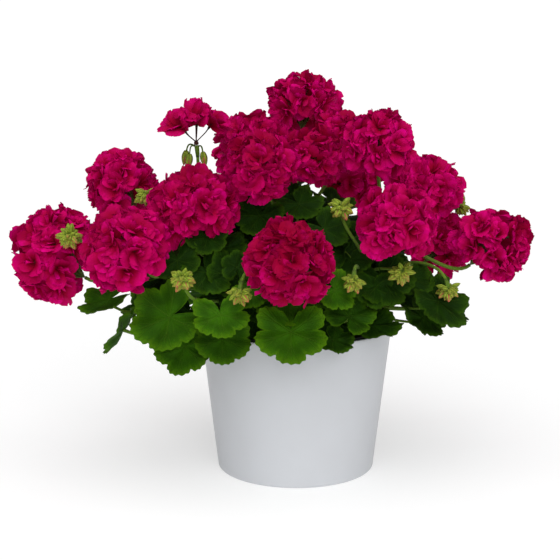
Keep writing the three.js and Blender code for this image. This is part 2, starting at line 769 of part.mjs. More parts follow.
// One shoot: its stem with every leaf and flower stalk fused to it, and what the stalks carry.
function shoot(row, order) {
  const stem = stemCurve(row);
  const joints = stem.points.length - 1;
  const green = [stalk(stem, STEM_FOOT_RADIUS, STEM_TOP_RADIUS, STEM_SIDES, joints)];
  const carried = [];
  row.leaves.forEach((one, k) => {
    green.push(leaf(stem, one, LOBE_DEPTHS[(order + k) % LOBE_DEPTHS.length]));
  });
  row.heads.forEach((head, k) => {
    const centre = vector(head.slice(1, 4));
    const radius = head[4];
    const height = head[6];
    const axis = headAxis(stem, centre);
    const hub = axis.clone().multiplyScalar(-(HUB_RATIO * radius + CLEARANCE / height));
    const end = centre.add(hub.setZ(height * hub.z));
    const curve = peduncleCurve(stem, FIRST_HEAD_NODE - HEAD_NODE_STEP * k, end, axis);
    const root = PEDUNCLE_RADIUS * PEDUNCLE_SWELL;
    green.push(stalk(curve, root, PEDUNCLE_RADIUS, PEDUNCLE_SIDES, PEDUNCLE_STEPS));
    carried.push(flowerHead(head, axis, new Dice(100 * order + 10 * k + 3)));
  });
  for (const cluster of row.buds) {
    const [lean, azimuth, node] = cluster.slice(5);
    const curve = peduncleCurve(stem, node, vector(cluster.slice(1, 4)), budAxis(lean, azimuth));
    green.push(belowNeck(curve));
    carried.push(budCluster(cluster, curve));
  }
  if (row.name === OPENING_SHOOT) {
    const axis = vector(OPENING_LEAN).normalize();
    const hub = vector(OPENING_HUB);
    const end = hub.clone().addScaledVector(axis, -2 * OPENING_HUB_RADIUS - CLEARANCE);
    const curve = peduncleCurve(stem, OPENING_NODE, end, axis);
    green.push(belowNeck(curve));
    carried.push(hangingBuds(curve), openingUmbel(hub, axis));
  }
  return { green, carried };
}

function coverPot() {
  const slope = (POT_TOP_RADIUS - POT_FOOT_RADIUS) / POT_HEIGHT;
  const outer = (z) => POT_FOOT_RADIUS + slope * z;
  const round = POT_FOOT_ROUND;
  return turned(
    [
      [0, 0],
      [outer(0) - round, 0],
      [outer(0) - 0.3 * round, 0.3 * round],
      [outer(round), round],
      [outer(POT_HEIGHT), POT_HEIGHT],
      [outer(POT_HEIGHT) - POT_WALL, POT_HEIGHT],
      [outer(POT_FLOOR) - POT_WALL, POT_FLOOR],
      [0, POT_FLOOR],
    ],
    POT_SIDES,
  );
}

function nurseryPot() {
  const bottom = POT_FLOOR + CLEARANCE;
  const shoulder = NURSERY_TOP - NURSERY_RIM_DEPTH;
  return turned(
    [
      [0, bottom],
      [NURSERY_FOOT_RADIUS, bottom],
      [NURSERY_SHOULDER_RADIUS, shoulder],
      [NURSERY_RIM_RADIUS - 0.6, shoulder + 0.6],
      [NURSERY_RIM_RADIUS, NURSERY_TOP],
      [NURSERY_RIM_RADIUS - NURSERY_WALL, NURSERY_TOP],
      [NURSERY_SHOULDER_RADIUS - NURSERY_WALL, shoulder],
      [NURSERY_FOOT_RADIUS - NURSERY_WALL, bottom + NURSERY_WALL],
      [0, bottom + NURSERY_WALL],
    ],
    NURSERY_SIDES,
  );
}

// The soil fills the nursery pot up to below its rim, with a plain hole for each stem.
function soil() {
  const bottom = POT_FLOOR + NURSERY_WALL + 2 * CLEARANCE;
  const top = SOIL_TOP - 2;
  const inside = Math.cos(Math.PI / NURSERY_SIDES);
  const share = (top - bottom) / (NURSERY_TOP - NURSERY_RIM_DEPTH - bottom);
  const foot = NURSERY_FOOT_RADIUS - NURSERY_WALL;
  const wall = foot + (NURSERY_SHOULDER_RADIUS - NURSERY_FOOT_RADIUS) * share;
  const body = turned(
    [
      [0, bottom],
      [foot * inside - 2 * CLEARANCE, bottom],
      [wall * inside - 2 * CLEARANCE, top],
      [0.6 * wall, SOIL_TOP],
      [0, SOIL_TOP],
    ],
    SOIL_SIDES,
  );
  const holes = SHOOTS.map(({ foot: [x, y] }) => {
    const floor = SOIL_TOP - STEM_HOLE_DEPTH;
    const line = new THREE.LineCurve3(
      new THREE.Vector3(x, y, floor),
      new THREE.Vector3(x, y, SOIL_TOP + SOIL_MOUND),
    );
    const radius = STEM_FOOT_RADIUS + 2 * CLEARANCE;
    return stalk(line, radius, radius, STEM_SIDES, 1);
  });
  return body.subtract(fuse(holes));
}

const plant = new THREE.Group();
plant.add(meshOf("cover_pot", coverPot(), COLOURS.pot));
plant.add(meshOf("nursery_pot", nurseryPot(), COLOURS.nursery));
plant.add(meshOf("soil", soil(), COLOURS.soil));
SHOOTS.forEach((row, order) => {
  const { green, carried } = shoot(row, order);
  plant.add(meshOf(row.name, fuse(green), COLOURS.leaf));
  carried.forEach((mesh) => plant.add(mesh));
});

export default plant;
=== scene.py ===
# A double-flowered zonal pelargonium in a white cover pot: petals, leaves, buds and finishes.
import logging
import math
from dataclasses import dataclass
from enum import Enum
from typing import NamedTuple, Sequence, Union

import bpy
import numpy as np
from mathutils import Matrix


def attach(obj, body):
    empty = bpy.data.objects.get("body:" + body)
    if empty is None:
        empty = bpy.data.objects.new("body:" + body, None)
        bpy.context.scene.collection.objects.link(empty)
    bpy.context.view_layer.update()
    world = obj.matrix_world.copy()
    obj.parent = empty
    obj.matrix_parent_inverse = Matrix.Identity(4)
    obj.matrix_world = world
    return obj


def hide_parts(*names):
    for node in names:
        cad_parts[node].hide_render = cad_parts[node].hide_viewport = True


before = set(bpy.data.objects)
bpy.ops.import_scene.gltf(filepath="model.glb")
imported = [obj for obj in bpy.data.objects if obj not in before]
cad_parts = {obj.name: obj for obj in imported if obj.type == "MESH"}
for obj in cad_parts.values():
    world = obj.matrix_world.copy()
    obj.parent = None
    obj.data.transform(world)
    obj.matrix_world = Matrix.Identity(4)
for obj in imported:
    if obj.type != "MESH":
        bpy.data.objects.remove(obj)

Array = np.ndarray
Number = Union[int, float]

log = logging.getLogger("pelargonium")

MM = 0.001
UP = np.array([0.0, 0.0, 1.0])
GOLDEN_ANGLE = math.pi * (3 - math.sqrt(5))
FULL_TURN = 2 * math.pi
ROOT_BODY = "root"
CLEARANCE = 0.3
LOBE_DEPTHS = (0.28, 0.17, 0.23)
# Painted shade: the very dark tone of the small inner leaves and the shaded leaves.
SHADED_TONE = -0.1
BLADE_EDGE = 100.0
POT_EDGE = 35.0


class LeafPlan(NamedTuple):
    """Where a leaf sits, in millimetres and degrees: its stalk's end, size and pose."""

    x: float
    y: float
    z: float
    radius: float
    azimuth: float
    elevation: float
    turn: float


class HeadPlan(NamedTuple):
    """A ball of florets: its node's name, centre, radius, number of florets, height as a share
    of its width, and how pink and bright its petals are, from 0 to 1. The pinkness is partly the
    head's own colour and partly painted light: heads that catch more light are pinker."""

    name: str
    x: float
    y: float
    z: float
    radius: float
    florets: int
    height: float
    pink: float


class BudPlan(NamedTuple):
    """A bud cluster: its node's name, hub, buds, lean and azimuth, and where its stalk starts."""

    name: str
    x: float
    y: float
    z: float
    buds: int
    lean: float
    azimuth: float
    node: float


class ShootPlan(NamedTuple):
    """A leafy shoot: its stem's foot and top, how light green its leaves are painted, from 0 to 1,
    its leaves, and what its flower stalks carry. The lightness is painted light and shade: shoots
    in the light get lighter leaves, shoots in shadow darker ones."""

    name: str
    foot: tuple[float, float]
    top: tuple[float, float, float]
    painted_lightness: float
    leaves: Sequence[LeafPlan]
    heads: Sequence[HeadPlan]
    buds: Sequence[BudPlan]


SHOOTS = [
    ShootPlan(
        "shoot_front",
        (-4, -34),
        (-6, -62, 206),
        0.75,
        [
            LeafPlan(-6, -125, 155, 33, 0, 38, 0),
            LeafPlan(-8, -98, 178, 31, -5, 42, 8),
            LeafPlan(-38, -100, 185, 19, -15, 40, -20),
            LeafPlan(31, -108, 187, 21, 18, 36, 30),
            LeafPlan(-33, -54, 245, 24, -8, 40, -20),
            LeafPlan(2, -40, 254, 23, 8, 52, 35),
            LeafPlan(24, -64, 234, 24, 14, 46, 40),
        ],
        [HeadPlan("head_front", -7, -135, 214.5, 38, 18, 1, 0.2)],
        [BudPlan("buds_front_left", -48, -130, 190, 8, 168, 0, 0.9)],
    ),
    ShootPlan(
        "shoot_front_left",
        (-30, -24),
        (-78, -58, 212),
        0.7,
        [
            LeafPlan(-109, -106, 164, 34.5, -14, 34, -58),
            LeafPlan(-98, -88, 134, 27, -12, 26, -8),
            LeafPlan(-65, -121, 169, 26, 4, 42, 8),
            LeafPlan(-64, -104, 145, 26, 6, 34, -4),
            LeafPlan(-77, -86, 199, 25, 10, 40, 30),
            LeafPlan(-52, -95, 205, 15, 10, 12, 178),
            LeafPlan(-64, -62, 217, 22, -10, 55, 20),
        ],
        [
            HeadPlan("head_front_left", -143.5, -105, 221, 39, 18, 1, 0.65),
            HeadPlan("head_mid_left", -90, -54, 250, 40.5, 18, 0.92, 0.4),
        ],
        [
            BudPlan("buds_left", -198, -75, 230, 13, 60, -20, 0.88),
            BudPlan("buds_mid_left", -95, -130, 201, 13, 10, -60, 0.5),
        ],
    ),
    ShootPlan(
        "shoot_left",
        (-34, 8),
        (-100, 4, 222),
        0.45,
        [
            LeafPlan(-170, -44, 168, 28, -42, 62, -30),
            LeafPlan(-148, -6, 156, 20, -60, 46, 10),
            LeafPlan(-157, -48, 141, 28, -96, 30, 0),
            LeafPlan(-158, 22, 190, 30, -100, 52, 0),
            LeafPlan(-140, 66, 164, 30, -118, 40, 10),
            LeafPlan(-130, 4, 212, 24, -95, 50, 0),
            LeafPlan(-122, -30, 186, 27, -40, 52, 0),
            LeafPlan(-106, -26, 216, 24, -14, 56, 0),
        ],
        [
            HeadPlan("head_far_left", -220, -20, 206, 42, 18, 1.15, 0.75),
            HeadPlan("head_top_left", -167, 35, 264, 36.5, 18, 1, 0.85),
            HeadPlan("head_back_left", -136, 130, 227, 35.5, 16, 1, 0.5),
        ],
        [BudPlan("buds_behind_left", -137, -20, 261, 6, 30, 0, 0.85)],
    ),
    ShootPlan(
        "shoot_centre",
        (2, 4),
        (-2, 6, 246),
        0.2,
        [
            LeafPlan(-44, 4, 262, 26, -60, 64, 0),
            LeafPlan(34, 24, 252, 26, 60, 66, 0),
            LeafPlan(-14, 48, 268, 26, 170, 62, 10),
            LeafPlan(-34, -14, 206, 29, -30, 58, 0),
            LeafPlan(34, -20, 202, 29, 34, 58, 0),
            LeafPlan(-44, 40, 196, 28, -120, 50, 0),
            LeafPlan(46, 42, 194, 28, 125, 50, 0),
        ],
        [
            HeadPlan("head_upper_left", -40.5, 41, 307, 34, 16, 0.88, 0.4),
            HeadPlan("head_upper_centre", -31, -61, 286, 33, 16, 1, 0.4),
            HeadPlan("head_top", 8, 96, 340.5, 38.5, 18, 0.86, 0.5),
            HeadPlan("head_centre", 14, -10, 292, 31, 16, 1, 0.4),
            HeadPlan("head_upper_right", 44, 50, 306, 31.5, 16, 1, 0.5),
        ],
        [],
    ),
    ShootPlan(
        "shoot_front_right",
        (30, -24),
        (62, -62, 206),
        0.3,
        [
            LeafPlan(31, -101, 143, 19, 22, 58, 30),
            LeafPlan(44, -98, 163, 24, 12, 46, 150),
            LeafPlan(74, -80, 192, 29, 10, 36, 20),
            LeafPlan(65, -66, 149, 29, 20, 70, 0),
            LeafPlan(47, -74, 208, 20, -4, 52, 10),
        ],
        [HeadPlan("head_front_right", 84, -100, 244, 36, 18, 0.94, 0.9)],
        [
            BudPlan("buds_centre_right", 37, -90, 256, 12, 16, 0, 0.9),
            BudPlan("buds_under_right", 88, -106, 203, 6, 85, 0, 0.82),
            BudPlan("buds_low_right", 47, -114, 197, 7, 168, 0, 0.74),
        ],
    ),
    ShootPlan(
        "shoot_right",
        (34, 10),
        (88, 2, 214),
        0.1,
        [
            LeafPlan(116, -36, 150, 24, 34, 44, 10),
            LeafPlan(126, -60, 169, 31, 36, 40, 20),
            LeafPlan(140, 6, 158, 30, 92, 44, 0),
            LeafPlan(102, -16, 224, 24, 40, 54, 10),
            LeafPlan(126, 58, 166, 31, 118, 46, 0),
            LeafPlan(100, -46, 188, 25, 24, 50, -10),
        ],
        [
            HeadPlan("head_right", 120, 10, 266, 36, 16, 0.85, 0.8),
            HeadPlan("head_far_right", 180, -20, 214, 36, 18, 1, 0.7),
            HeadPlan("head_mid_right", 141, 46, 208, 34, 16, 1, 0.3),
            HeadPlan("head_upper_far_right", 72, -42, 306, 33, 16, 1, 0.7),
        ],
        [
            BudPlan("buds_far_right", 134, -62, 181, 9, 165, 20, 0.66),
            BudPlan("buds_right", 158, 30, 246, 5, 75, 100, 0.9),
        ],
    ),
    ShootPlan(
        "shoot_back",
        (2, 36),
        (6, 86, 214),
        0.4,
        [
            LeafPlan(-88, 96, 152, 30, -150, 40, 0),
            LeafPlan(-36, 126, 148, 31, -166, 36, 10),
            LeafPlan(24, 128, 154, 31, 172, 38, -8),
            LeafPlan(78, 104, 148, 30, 148, 40, 0),
            LeafPlan(-70, 112, 198, 29, -156, 54, 0),
            LeafPlan(58, 124, 184, 28, 155, 46, 0),
            LeafPlan(16, 112, 232, 26, 170, 56, 0),
            LeafPlan(-52, 70, 226, 26, -140, 64, 20),
            LeafPlan(46, 62, 232, 24, 130, 60, -20),
        ],
        [
            HeadPlan("head_back_top", -51, 126, 285, 34, 16, 1, 0.5),
            HeadPlan("head_back", -3, 150, 200, 36, 18, 1, 0.5),
            HeadPlan("head_back_right", 116, 130, 216, 35.5, 16, 1, 0.6),
            HeadPlan("head_behind_right", 59, 110, 263, 32, 16, 1, 0.4),
        ],
        [],
    ),
]


# Painted shade: dark leaves set between the heads and leaves, where the plant is in shadow.
SHADED_LEAVES = {
    "shoot_front_left": [
        LeafPlan(-99, -40, 206, 24, -8, 30, 10),
        LeafPlan(-112, -22, 200, 22, -30, 34, -15),
        LeafPlan(-96, -52, 158, 24, -12, 34, 0),
        LeafPlan(-104, -82, 209, 23, -10, 34, 15),
        LeafPlan(-78, -74, 228, 20, 0, 40, -10),
    ],
    "shoot_left": [LeafPlan(-128, -40, 201, 20, -30, 30, 0)],
    "shoot_centre": [
        LeafPlan(-52, -20, 252, 22, -10, 40, 0),
        LeafPlan(-5, -12, 250, 24, 0, 40, 20),
        LeafPlan(26, -24, 236, 22, 20, 44, 0),
        LeafPlan(-42, -2, 236, 24, -10, 36, 20),
        LeafPlan(-18, 4, 262, 22, 0, 34, -20),
    ],
    "shoot_front_right": [LeafPlan(50, -34, 212, 24, 10, 36, 0)],
    "shoot_right": [
        LeafPlan(109, -12, 172, 26, 24, 30, 0),
        LeafPlan(122, -22, 158, 22, 34, 26, 20),
    ],
}


class Dice:
    """A small seeded dice, the same on every run."""

    FACTOR = 1664525
    STEP = 1013904223
    SPAN = 2**32

    def __init__(self, seed: int) -> None:
        """Starts the dice at a seed."""
        self.state = seed

    def roll(self, low: float, high: float) -> float:
        """Draws the next number from low to high."""
        self.state = (self.state * self.FACTOR + self.STEP) % self.SPAN
        return low + (high - low) * self.state / self.SPAN

    def stray(self, reach: float = 1.0) -> list[float]:
        """Draws three numbers, each up to reach off 0."""
        return [self.roll(-reach, reach) for _ in range(3)]


def unit(v: Array) -> Array:
    """Scales a vector to length 1."""
    return v / np.linalg.norm(v)


def cross_matrix(axis: Array) -> Array:
    """Gives the matrix whose product with a vector is the axis's cross product with it."""
    x, y, z = axis
    return np.array([[0, -z, y], [z, 0, -x], [-y, x, 0]])


def turn_between(start: Array, end: Array) -> Array:
    """Gives the matrix that turns one unit vector to another by the shortest way.

    Args:
        start: The unit vector to turn.
        end: The unit vector that it turns to.

    Returns:
        A 3 by 3 rotation matrix.
    """
    cosine = float(np.dot(start, end))
    if cosine < -0.9999:
        return np.diag([-1.0, 1.0, -1.0])
    skew = cross_matrix(np.cross(start, end))
    return np.eye(3) + skew + skew @ skew / (1 + cosine)


def spin(axis: Array, degrees: float) -> Array:
    """Gives the matrix that turns by an angle round an axis.

    Args:
        axis: The unit vector of the axis.
        degrees: The angle.

    Returns:
        A 3 by 3 rotation matrix.
    """
    skew = cross_matrix(axis)
    angle = math.radians(degrees)
    return np.eye(3) + math.sin(angle) * skew + (1 - math.cos(angle)) * skew @ skew


def smoothstep(value: Array, low: float, high: float) -> Array:
    """Rises smoothly from 0 at low to 1 at high."""
    t = np.clip((value - low) / (high - low), 0, 1)
    return t * t * (3 - 2 * t)


def directions(count: int, spread: float, dice: Dice, stray: float) -> list[Array]:
    """Spreads directions evenly round +Z, each a little off its place.

    Args:
        count: How many directions there are.
        spread: The angle from +Z that they reach, in degrees.
        dice: The dice that moves them.
        stray: How far each may move along X, Y and Z.

    Returns:
        The unit vectors.
    """
    made = []
    for i in range(count):
        z = 1 - ((i + 0.5) / count) * (1 - math.cos(math.radians(spread)))
        r = math.sqrt(1 - z * z)
        angle = i * GOLDEN_ANGLE
        site = np.array([r * math.cos(angle), r * math.sin(angle), z])
        site += dice.stray(stray)
        made.append(unit(site))
    return made


class Stem:
    """The line of a shoot's stem: a smooth curve through a few points."""

    SOIL_TOP = 124.0
    HOLE_DEPTH = 26.0
    UPRIGHT = 4.0
    OUT_AND_UP = ((0.3, 0.32), (0.68, 0.65))

    def __init__(self, plan: ShootPlan) -> None:
        """Lays the stem: upright in its hole, then leaning out to its top.

        Args:
            plan: The shoot's plan.
        """
        x, y = plan.foot
        top = np.array(plan.top, float)
        rise = top[2] - self.SOIL_TOP
        rows = [[x, y, self.SOIL_TOP - self.HOLE_DEPTH + CLEARANCE]]
        rows.append([x, y, self.SOIL_TOP + self.UPRIGHT])
        for out, up in self.OUT_AND_UP:
            rows.append([x + out * (top[0] - x), y + out * (top[1] - y), self.SOIL_TOP + up * rise])
        self.points = np.array([*rows, top])

    def point(self, share: float) -> Array:
        """Gives a point of the stem.

        Args:
            share: Where it lies, from 0 to 1, counted from one of the points to the next.

        Returns:
            The point.
        """
        last = len(self.points) - 1
        place = min(max(share, 0.0), 1.0) * last
        i = min(int(place), last - 1)
        t = place - i
        p1, p2 = self.points[i], self.points[i + 1]
        p0 = self.points[i - 1] if i > 0 else 2 * p1 - p2
        p3 = self.points[i + 2] if i + 2 <= last else 2 * p2 - p1
        d0, d1, d2 = (math.sqrt(np.linalg.norm(b - a)) for a, b in ((p0, p1), (p1, p2), (p2, p3)))
        m1 = ((p1 - p0) / d0 - (p2 - p0) / (d0 + d1) + (p2 - p1) / d1) * d1
        m2 = ((p2 - p1) / d1 - (p3 - p1) / (d1 + d2) + (p3 - p2) / d2) * d1
        c2 = -3 * p1 + 3 * p2 - 2 * m1 - m2
        c3 = 2 * p1 - 2 * p2 + m1 + m2
        return p1 + m1 * t + c2 * t * t + c3 * t**3

    def tangent(self, share: float) -> Array:
        """Gives the stem's direction at a share of its length."""
        return unit(self.point(min(share + 1e-4, 1)) - self.point(max(share - 1e-4, 0)))


class Bend:
    """A cubic curve with two end points and two guides."""

    def __init__(self, start: Array, guide1: Array, guide2: Array, end: Array) -> None:
        """Keeps the four points."""
        self.corners = (start, guide1, guide2, end)

    def points(self, count: int) -> Array:
        """Gives points along the curve.

        Args:
            count: How many steps they make.

        Returns:
            The points, one row each, one more than the steps.
        """
        t = np.linspace(0, 1, count + 1)[:, None]
        a, b, c, d = self.corners
        return a * (1 - t) ** 3 + 3 * b * t * (1 - t) ** 2 + 3 * c * t * t * (1 - t) + d * t**3


def split_line(points: Array, from_end: float) -> tuple[Array, Array]:
    """Cuts a line of points in two at a distance from its end.

    Args:
        points: The line's points, one row each.
        from_end: How far before the end the cut lies, along the line.

    Returns:
        The stretch before the cut and the stretch after it.
    """
    steps = np.linalg.norm(np.diff(points, axis=0), axis=1)
    length = np.concatenate([[0], np.cumsum(steps)])
    cut = length[-1] - from_end
    at = np.array([np.interp(cut, length, points[:, k]) for k in range(3)])
    first = points[length < cut - 1e-6]
    second = points[length > cut + 1e-6]
    return np.vstack([first, at]), np.vstack([at, second])


def ring_faces(rings: int, sides: int) -> Array:
    """Gives the faces of a closed body made of rings of corners, with a middle corner at each end.

    Args:
        rings: How many rings it has. Their corners come first, then the foot, then the tip.
        sides: How many corners each ring has.

    Returns:
        The faces, four corners each. A triangle names its last corner twice.
    """
    k = np.arange(sides)
    nxt = (k + 1) % sides
    faces = []
    for i in range(rings - 1):
        a = i * sides
        faces.append(np.stack([a + k, a + nxt, a + sides + nxt, a + sides + k], 1))
    last = (rings - 1) * sides
    foot = np.full(sides, rings * sides)
    tip = foot + 1
    faces.append(np.stack([nxt, k, foot, foot], 1))
    faces.append(np.stack([last + k, last + nxt, tip, tip], 1))
    return np.vstack(faces)


class Sketch:
    """Collects the corners, faces and paint values of one piece, in millimetres."""

    PAINT = "paint"
    ASIDE = (1.0, 0.03, 0.02)
    DOME = 0.5
    FLAT = 180.0

    def __init__(self) -> None:
        """Starts empty."""
        self.corners: list[Array] = []
        self.paint: list[Array] = []
        self.faces: list[Array] = []
        self.finish: list[Array] = []
        self.count = 0

    def add(self, corners: Array, faces: Array, paint: Array, finish: int = 0) -> None:
        """Adds a closed shape.

        Args:
            corners: Its corners, one row each.
            faces: Its four-cornered faces. A triangle names its last corner twice.
            paint: Four values from 0 to 1 for each corner, which the finishes read.
            finish: The index of its finish on the piece.
        """
        self.corners.append(corners)
        self.paint.append(np.clip(paint, 0, 1))
        self.faces.append(faces + self.count)
        self.finish.append(np.full(len(faces), finish))
        self.count += len(corners)

    def tube(
        self,
        line: Array,
        radii: Array,
        sides: int,
        tone: float,
        finish: int = 0,
        round_end: bool = False,
    ) -> None:
        """Adds a round stalk along a line of points.

        Args:
            line: The points of its middle line.
            radii: Its radius at each point.
            sides: How many sides it has.
            tone: A paint value that sets it apart from its neighbours.
            finish: The index of its finish on the piece.
            round_end: Whether the last ring closes in a low dome.
        """
        count = len(line)
        ways = np.gradient(line, axis=0)
        ways /= np.linalg.norm(ways, axis=1)[:, None]
        normal = unit(np.cross(self.ASIDE, ways[0]))
        angles = np.arange(sides) * FULL_TURN / sides
        rings = []
        for i in range(count):
            if i > 0:
                normal = turn_between(ways[i - 1], ways[i]) @ normal
            across = np.cross(ways[i], normal)
            circle = np.outer(np.cos(angles), normal) + np.outer(np.sin(angles), across)
            rings.append(line[i] + radii[i] * circle)
        dome = self.DOME * radii[-1] * ways[-1] if round_end else 0
        corners = np.vstack([*rings, line[0], line[-1] + dome])
        along = np.concatenate([np.repeat(np.linspace(0, 1, count), sides), [0, 1]])
        around = np.concatenate([np.tile(np.arange(sides) / sides, count), [0, 0]])
        paint = np.stack([along, around, np.full(len(along), tone), np.zeros(len(along))], 1)
        self.add(corners, ring_faces(count, sides), paint, finish)

    def turned(self, profile: Array, sides: int, finish: int = 0) -> None:
        """Adds a turned shape from its profile, which starts and ends on the axis.

        Args:
            profile: The radius and height of each ring. The first and last radius are 0.
            sides: How many sides it has.
            finish: The index of its finish on the piece.
        """
        angles = np.arange(sides) * FULL_TURN / sides
        rings = profile[1:-1]
        circle = np.stack([np.cos(angles), np.sin(angles)], 1)
        body = [np.column_stack([r * circle, np.full(sides, z)]) for r, z in rings]
        corners = np.vstack([*body, [0, 0, profile[0][1]], [0, 0, profile[-1][1]]])
        self.add(corners, ring_faces(len(rings), sides), np.zeros((len(corners), 4)), finish)

    def build(
        self,
        name: str,
        node: str,
        slot: str,
        finishes: Sequence[bpy.types.Material],
        sharp: float = FLAT,
    ) -> bpy.types.Object:
        """Makes the piece, in place of its node.

        Args:
            name: The piece's name.
            node: The node that it replaces.
            slot: Not used.
            finishes: Its materials, in the order of the finish indices.
            sharp: Edges that turn by more than this angle, in degrees, are shaded sharp.

        Returns:
            The new object, with its mesh in metres.
        """
        corners = np.vstack(self.corners) * MM
        faces = np.vstack(self.faces)
        sizes = np.where(faces[:, 3] == faces[:, 2], 3, 4)
        loops = faces.ravel()[(np.arange(4) < sizes[:, None]).ravel()]
        mesh = bpy.data.meshes.new(name)
        mesh.vertices.add(len(corners))
        mesh.vertices.foreach_set("co", corners.astype(np.float32).ravel())
        mesh.loops.add(len(loops))
        mesh.loops.foreach_set("vertex_index", loops.astype(np.int32))
        mesh.polygons.add(len(faces))
        starts = np.concatenate([[0], np.cumsum(sizes)[:-1]])
        mesh.polygons.foreach_set("loop_start", starts.astype(np.int32))
        mesh.polygons.foreach_set("material_index", np.concatenate(self.finish).astype(np.int32))
        mesh.update(calc_edges=True)
        mesh.validate()
        mesh.shade_smooth()
        if sharp < self.FLAT:
            mesh.set_sharp_from_angle(angle=math.radians(sharp))
        layer = mesh.attributes.new(self.PAINT, "FLOAT_COLOR", "POINT")
        layer.data.foreach_set("color", np.vstack(self.paint).astype(np.float32).ravel())
        for finish in finishes:
            mesh.materials.append(finish)
        piece = bpy.data.objects.new(name, mesh)
        bpy.context.scene.collection.objects.link(piece)
        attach(piece, ROOT_BODY)
        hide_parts(node)
        return piece


class Value:
    """A shader socket that takes part in Python expressions."""

    def __init__(self, graph: "Graph", socket: bpy.types.NodeSocket) -> None:
        """Wraps a socket of a graph."""
        self.graph = graph
        self.socket = socket

    def __add__(self, other: "Operand") -> "Value":
        """Adds."""
        return self.graph.math("ADD", self, other)

    __radd__ = __add__

    def __sub__(self, other: "Operand") -> "Value":
        """Subtracts."""
        return self.graph.math("SUBTRACT", self, other)

    def __rsub__(self, other: "Operand") -> "Value":
        """Is subtracted from a number."""
        return self.graph.math("SUBTRACT", other, self)

    def __mul__(self, other: "Operand") -> "Value":
        """Multiplies."""
        return self.graph.math("MULTIPLY", self, other)

    __rmul__ = __mul__

    def __truediv__(self, other: "Operand") -> "Value":
        """Divides."""
        return self.graph.math("DIVIDE", self, other)

    def __pow__(self, other: "Operand") -> "Value":
        """Raises to a power."""
        return self.graph.math("POWER", self, other)

    def clamped(self) -> "Value":
        """Holds the value between 0 and 1."""
        return self.graph.math("MINIMUM", self.graph.math("MAXIMUM", self, 0.0), 1.0)

    def band(self, low: float, high: float) -> "Value":
        """Maps the value smoothly to a range from 0 to 1.

        Args:
            low: Where the result is 0.
            high: Where the result is 1. It may be the lower of the two.

        Returns:
            The mapped value.
        """
        spans = {"Value": self, "From Min": min(low, high), "From Max": max(low, high)}
        kind, settings = "ShaderNodeMapRange", {"interpolation_type": "SMOOTHSTEP"}
        rising = Value(self.graph, self.graph.node(kind, settings, spans).outputs["Result"])
        return rising if low < high else 1 - rising


Operand = Union[Value, Number]
Colour = tuple[float, float, float]


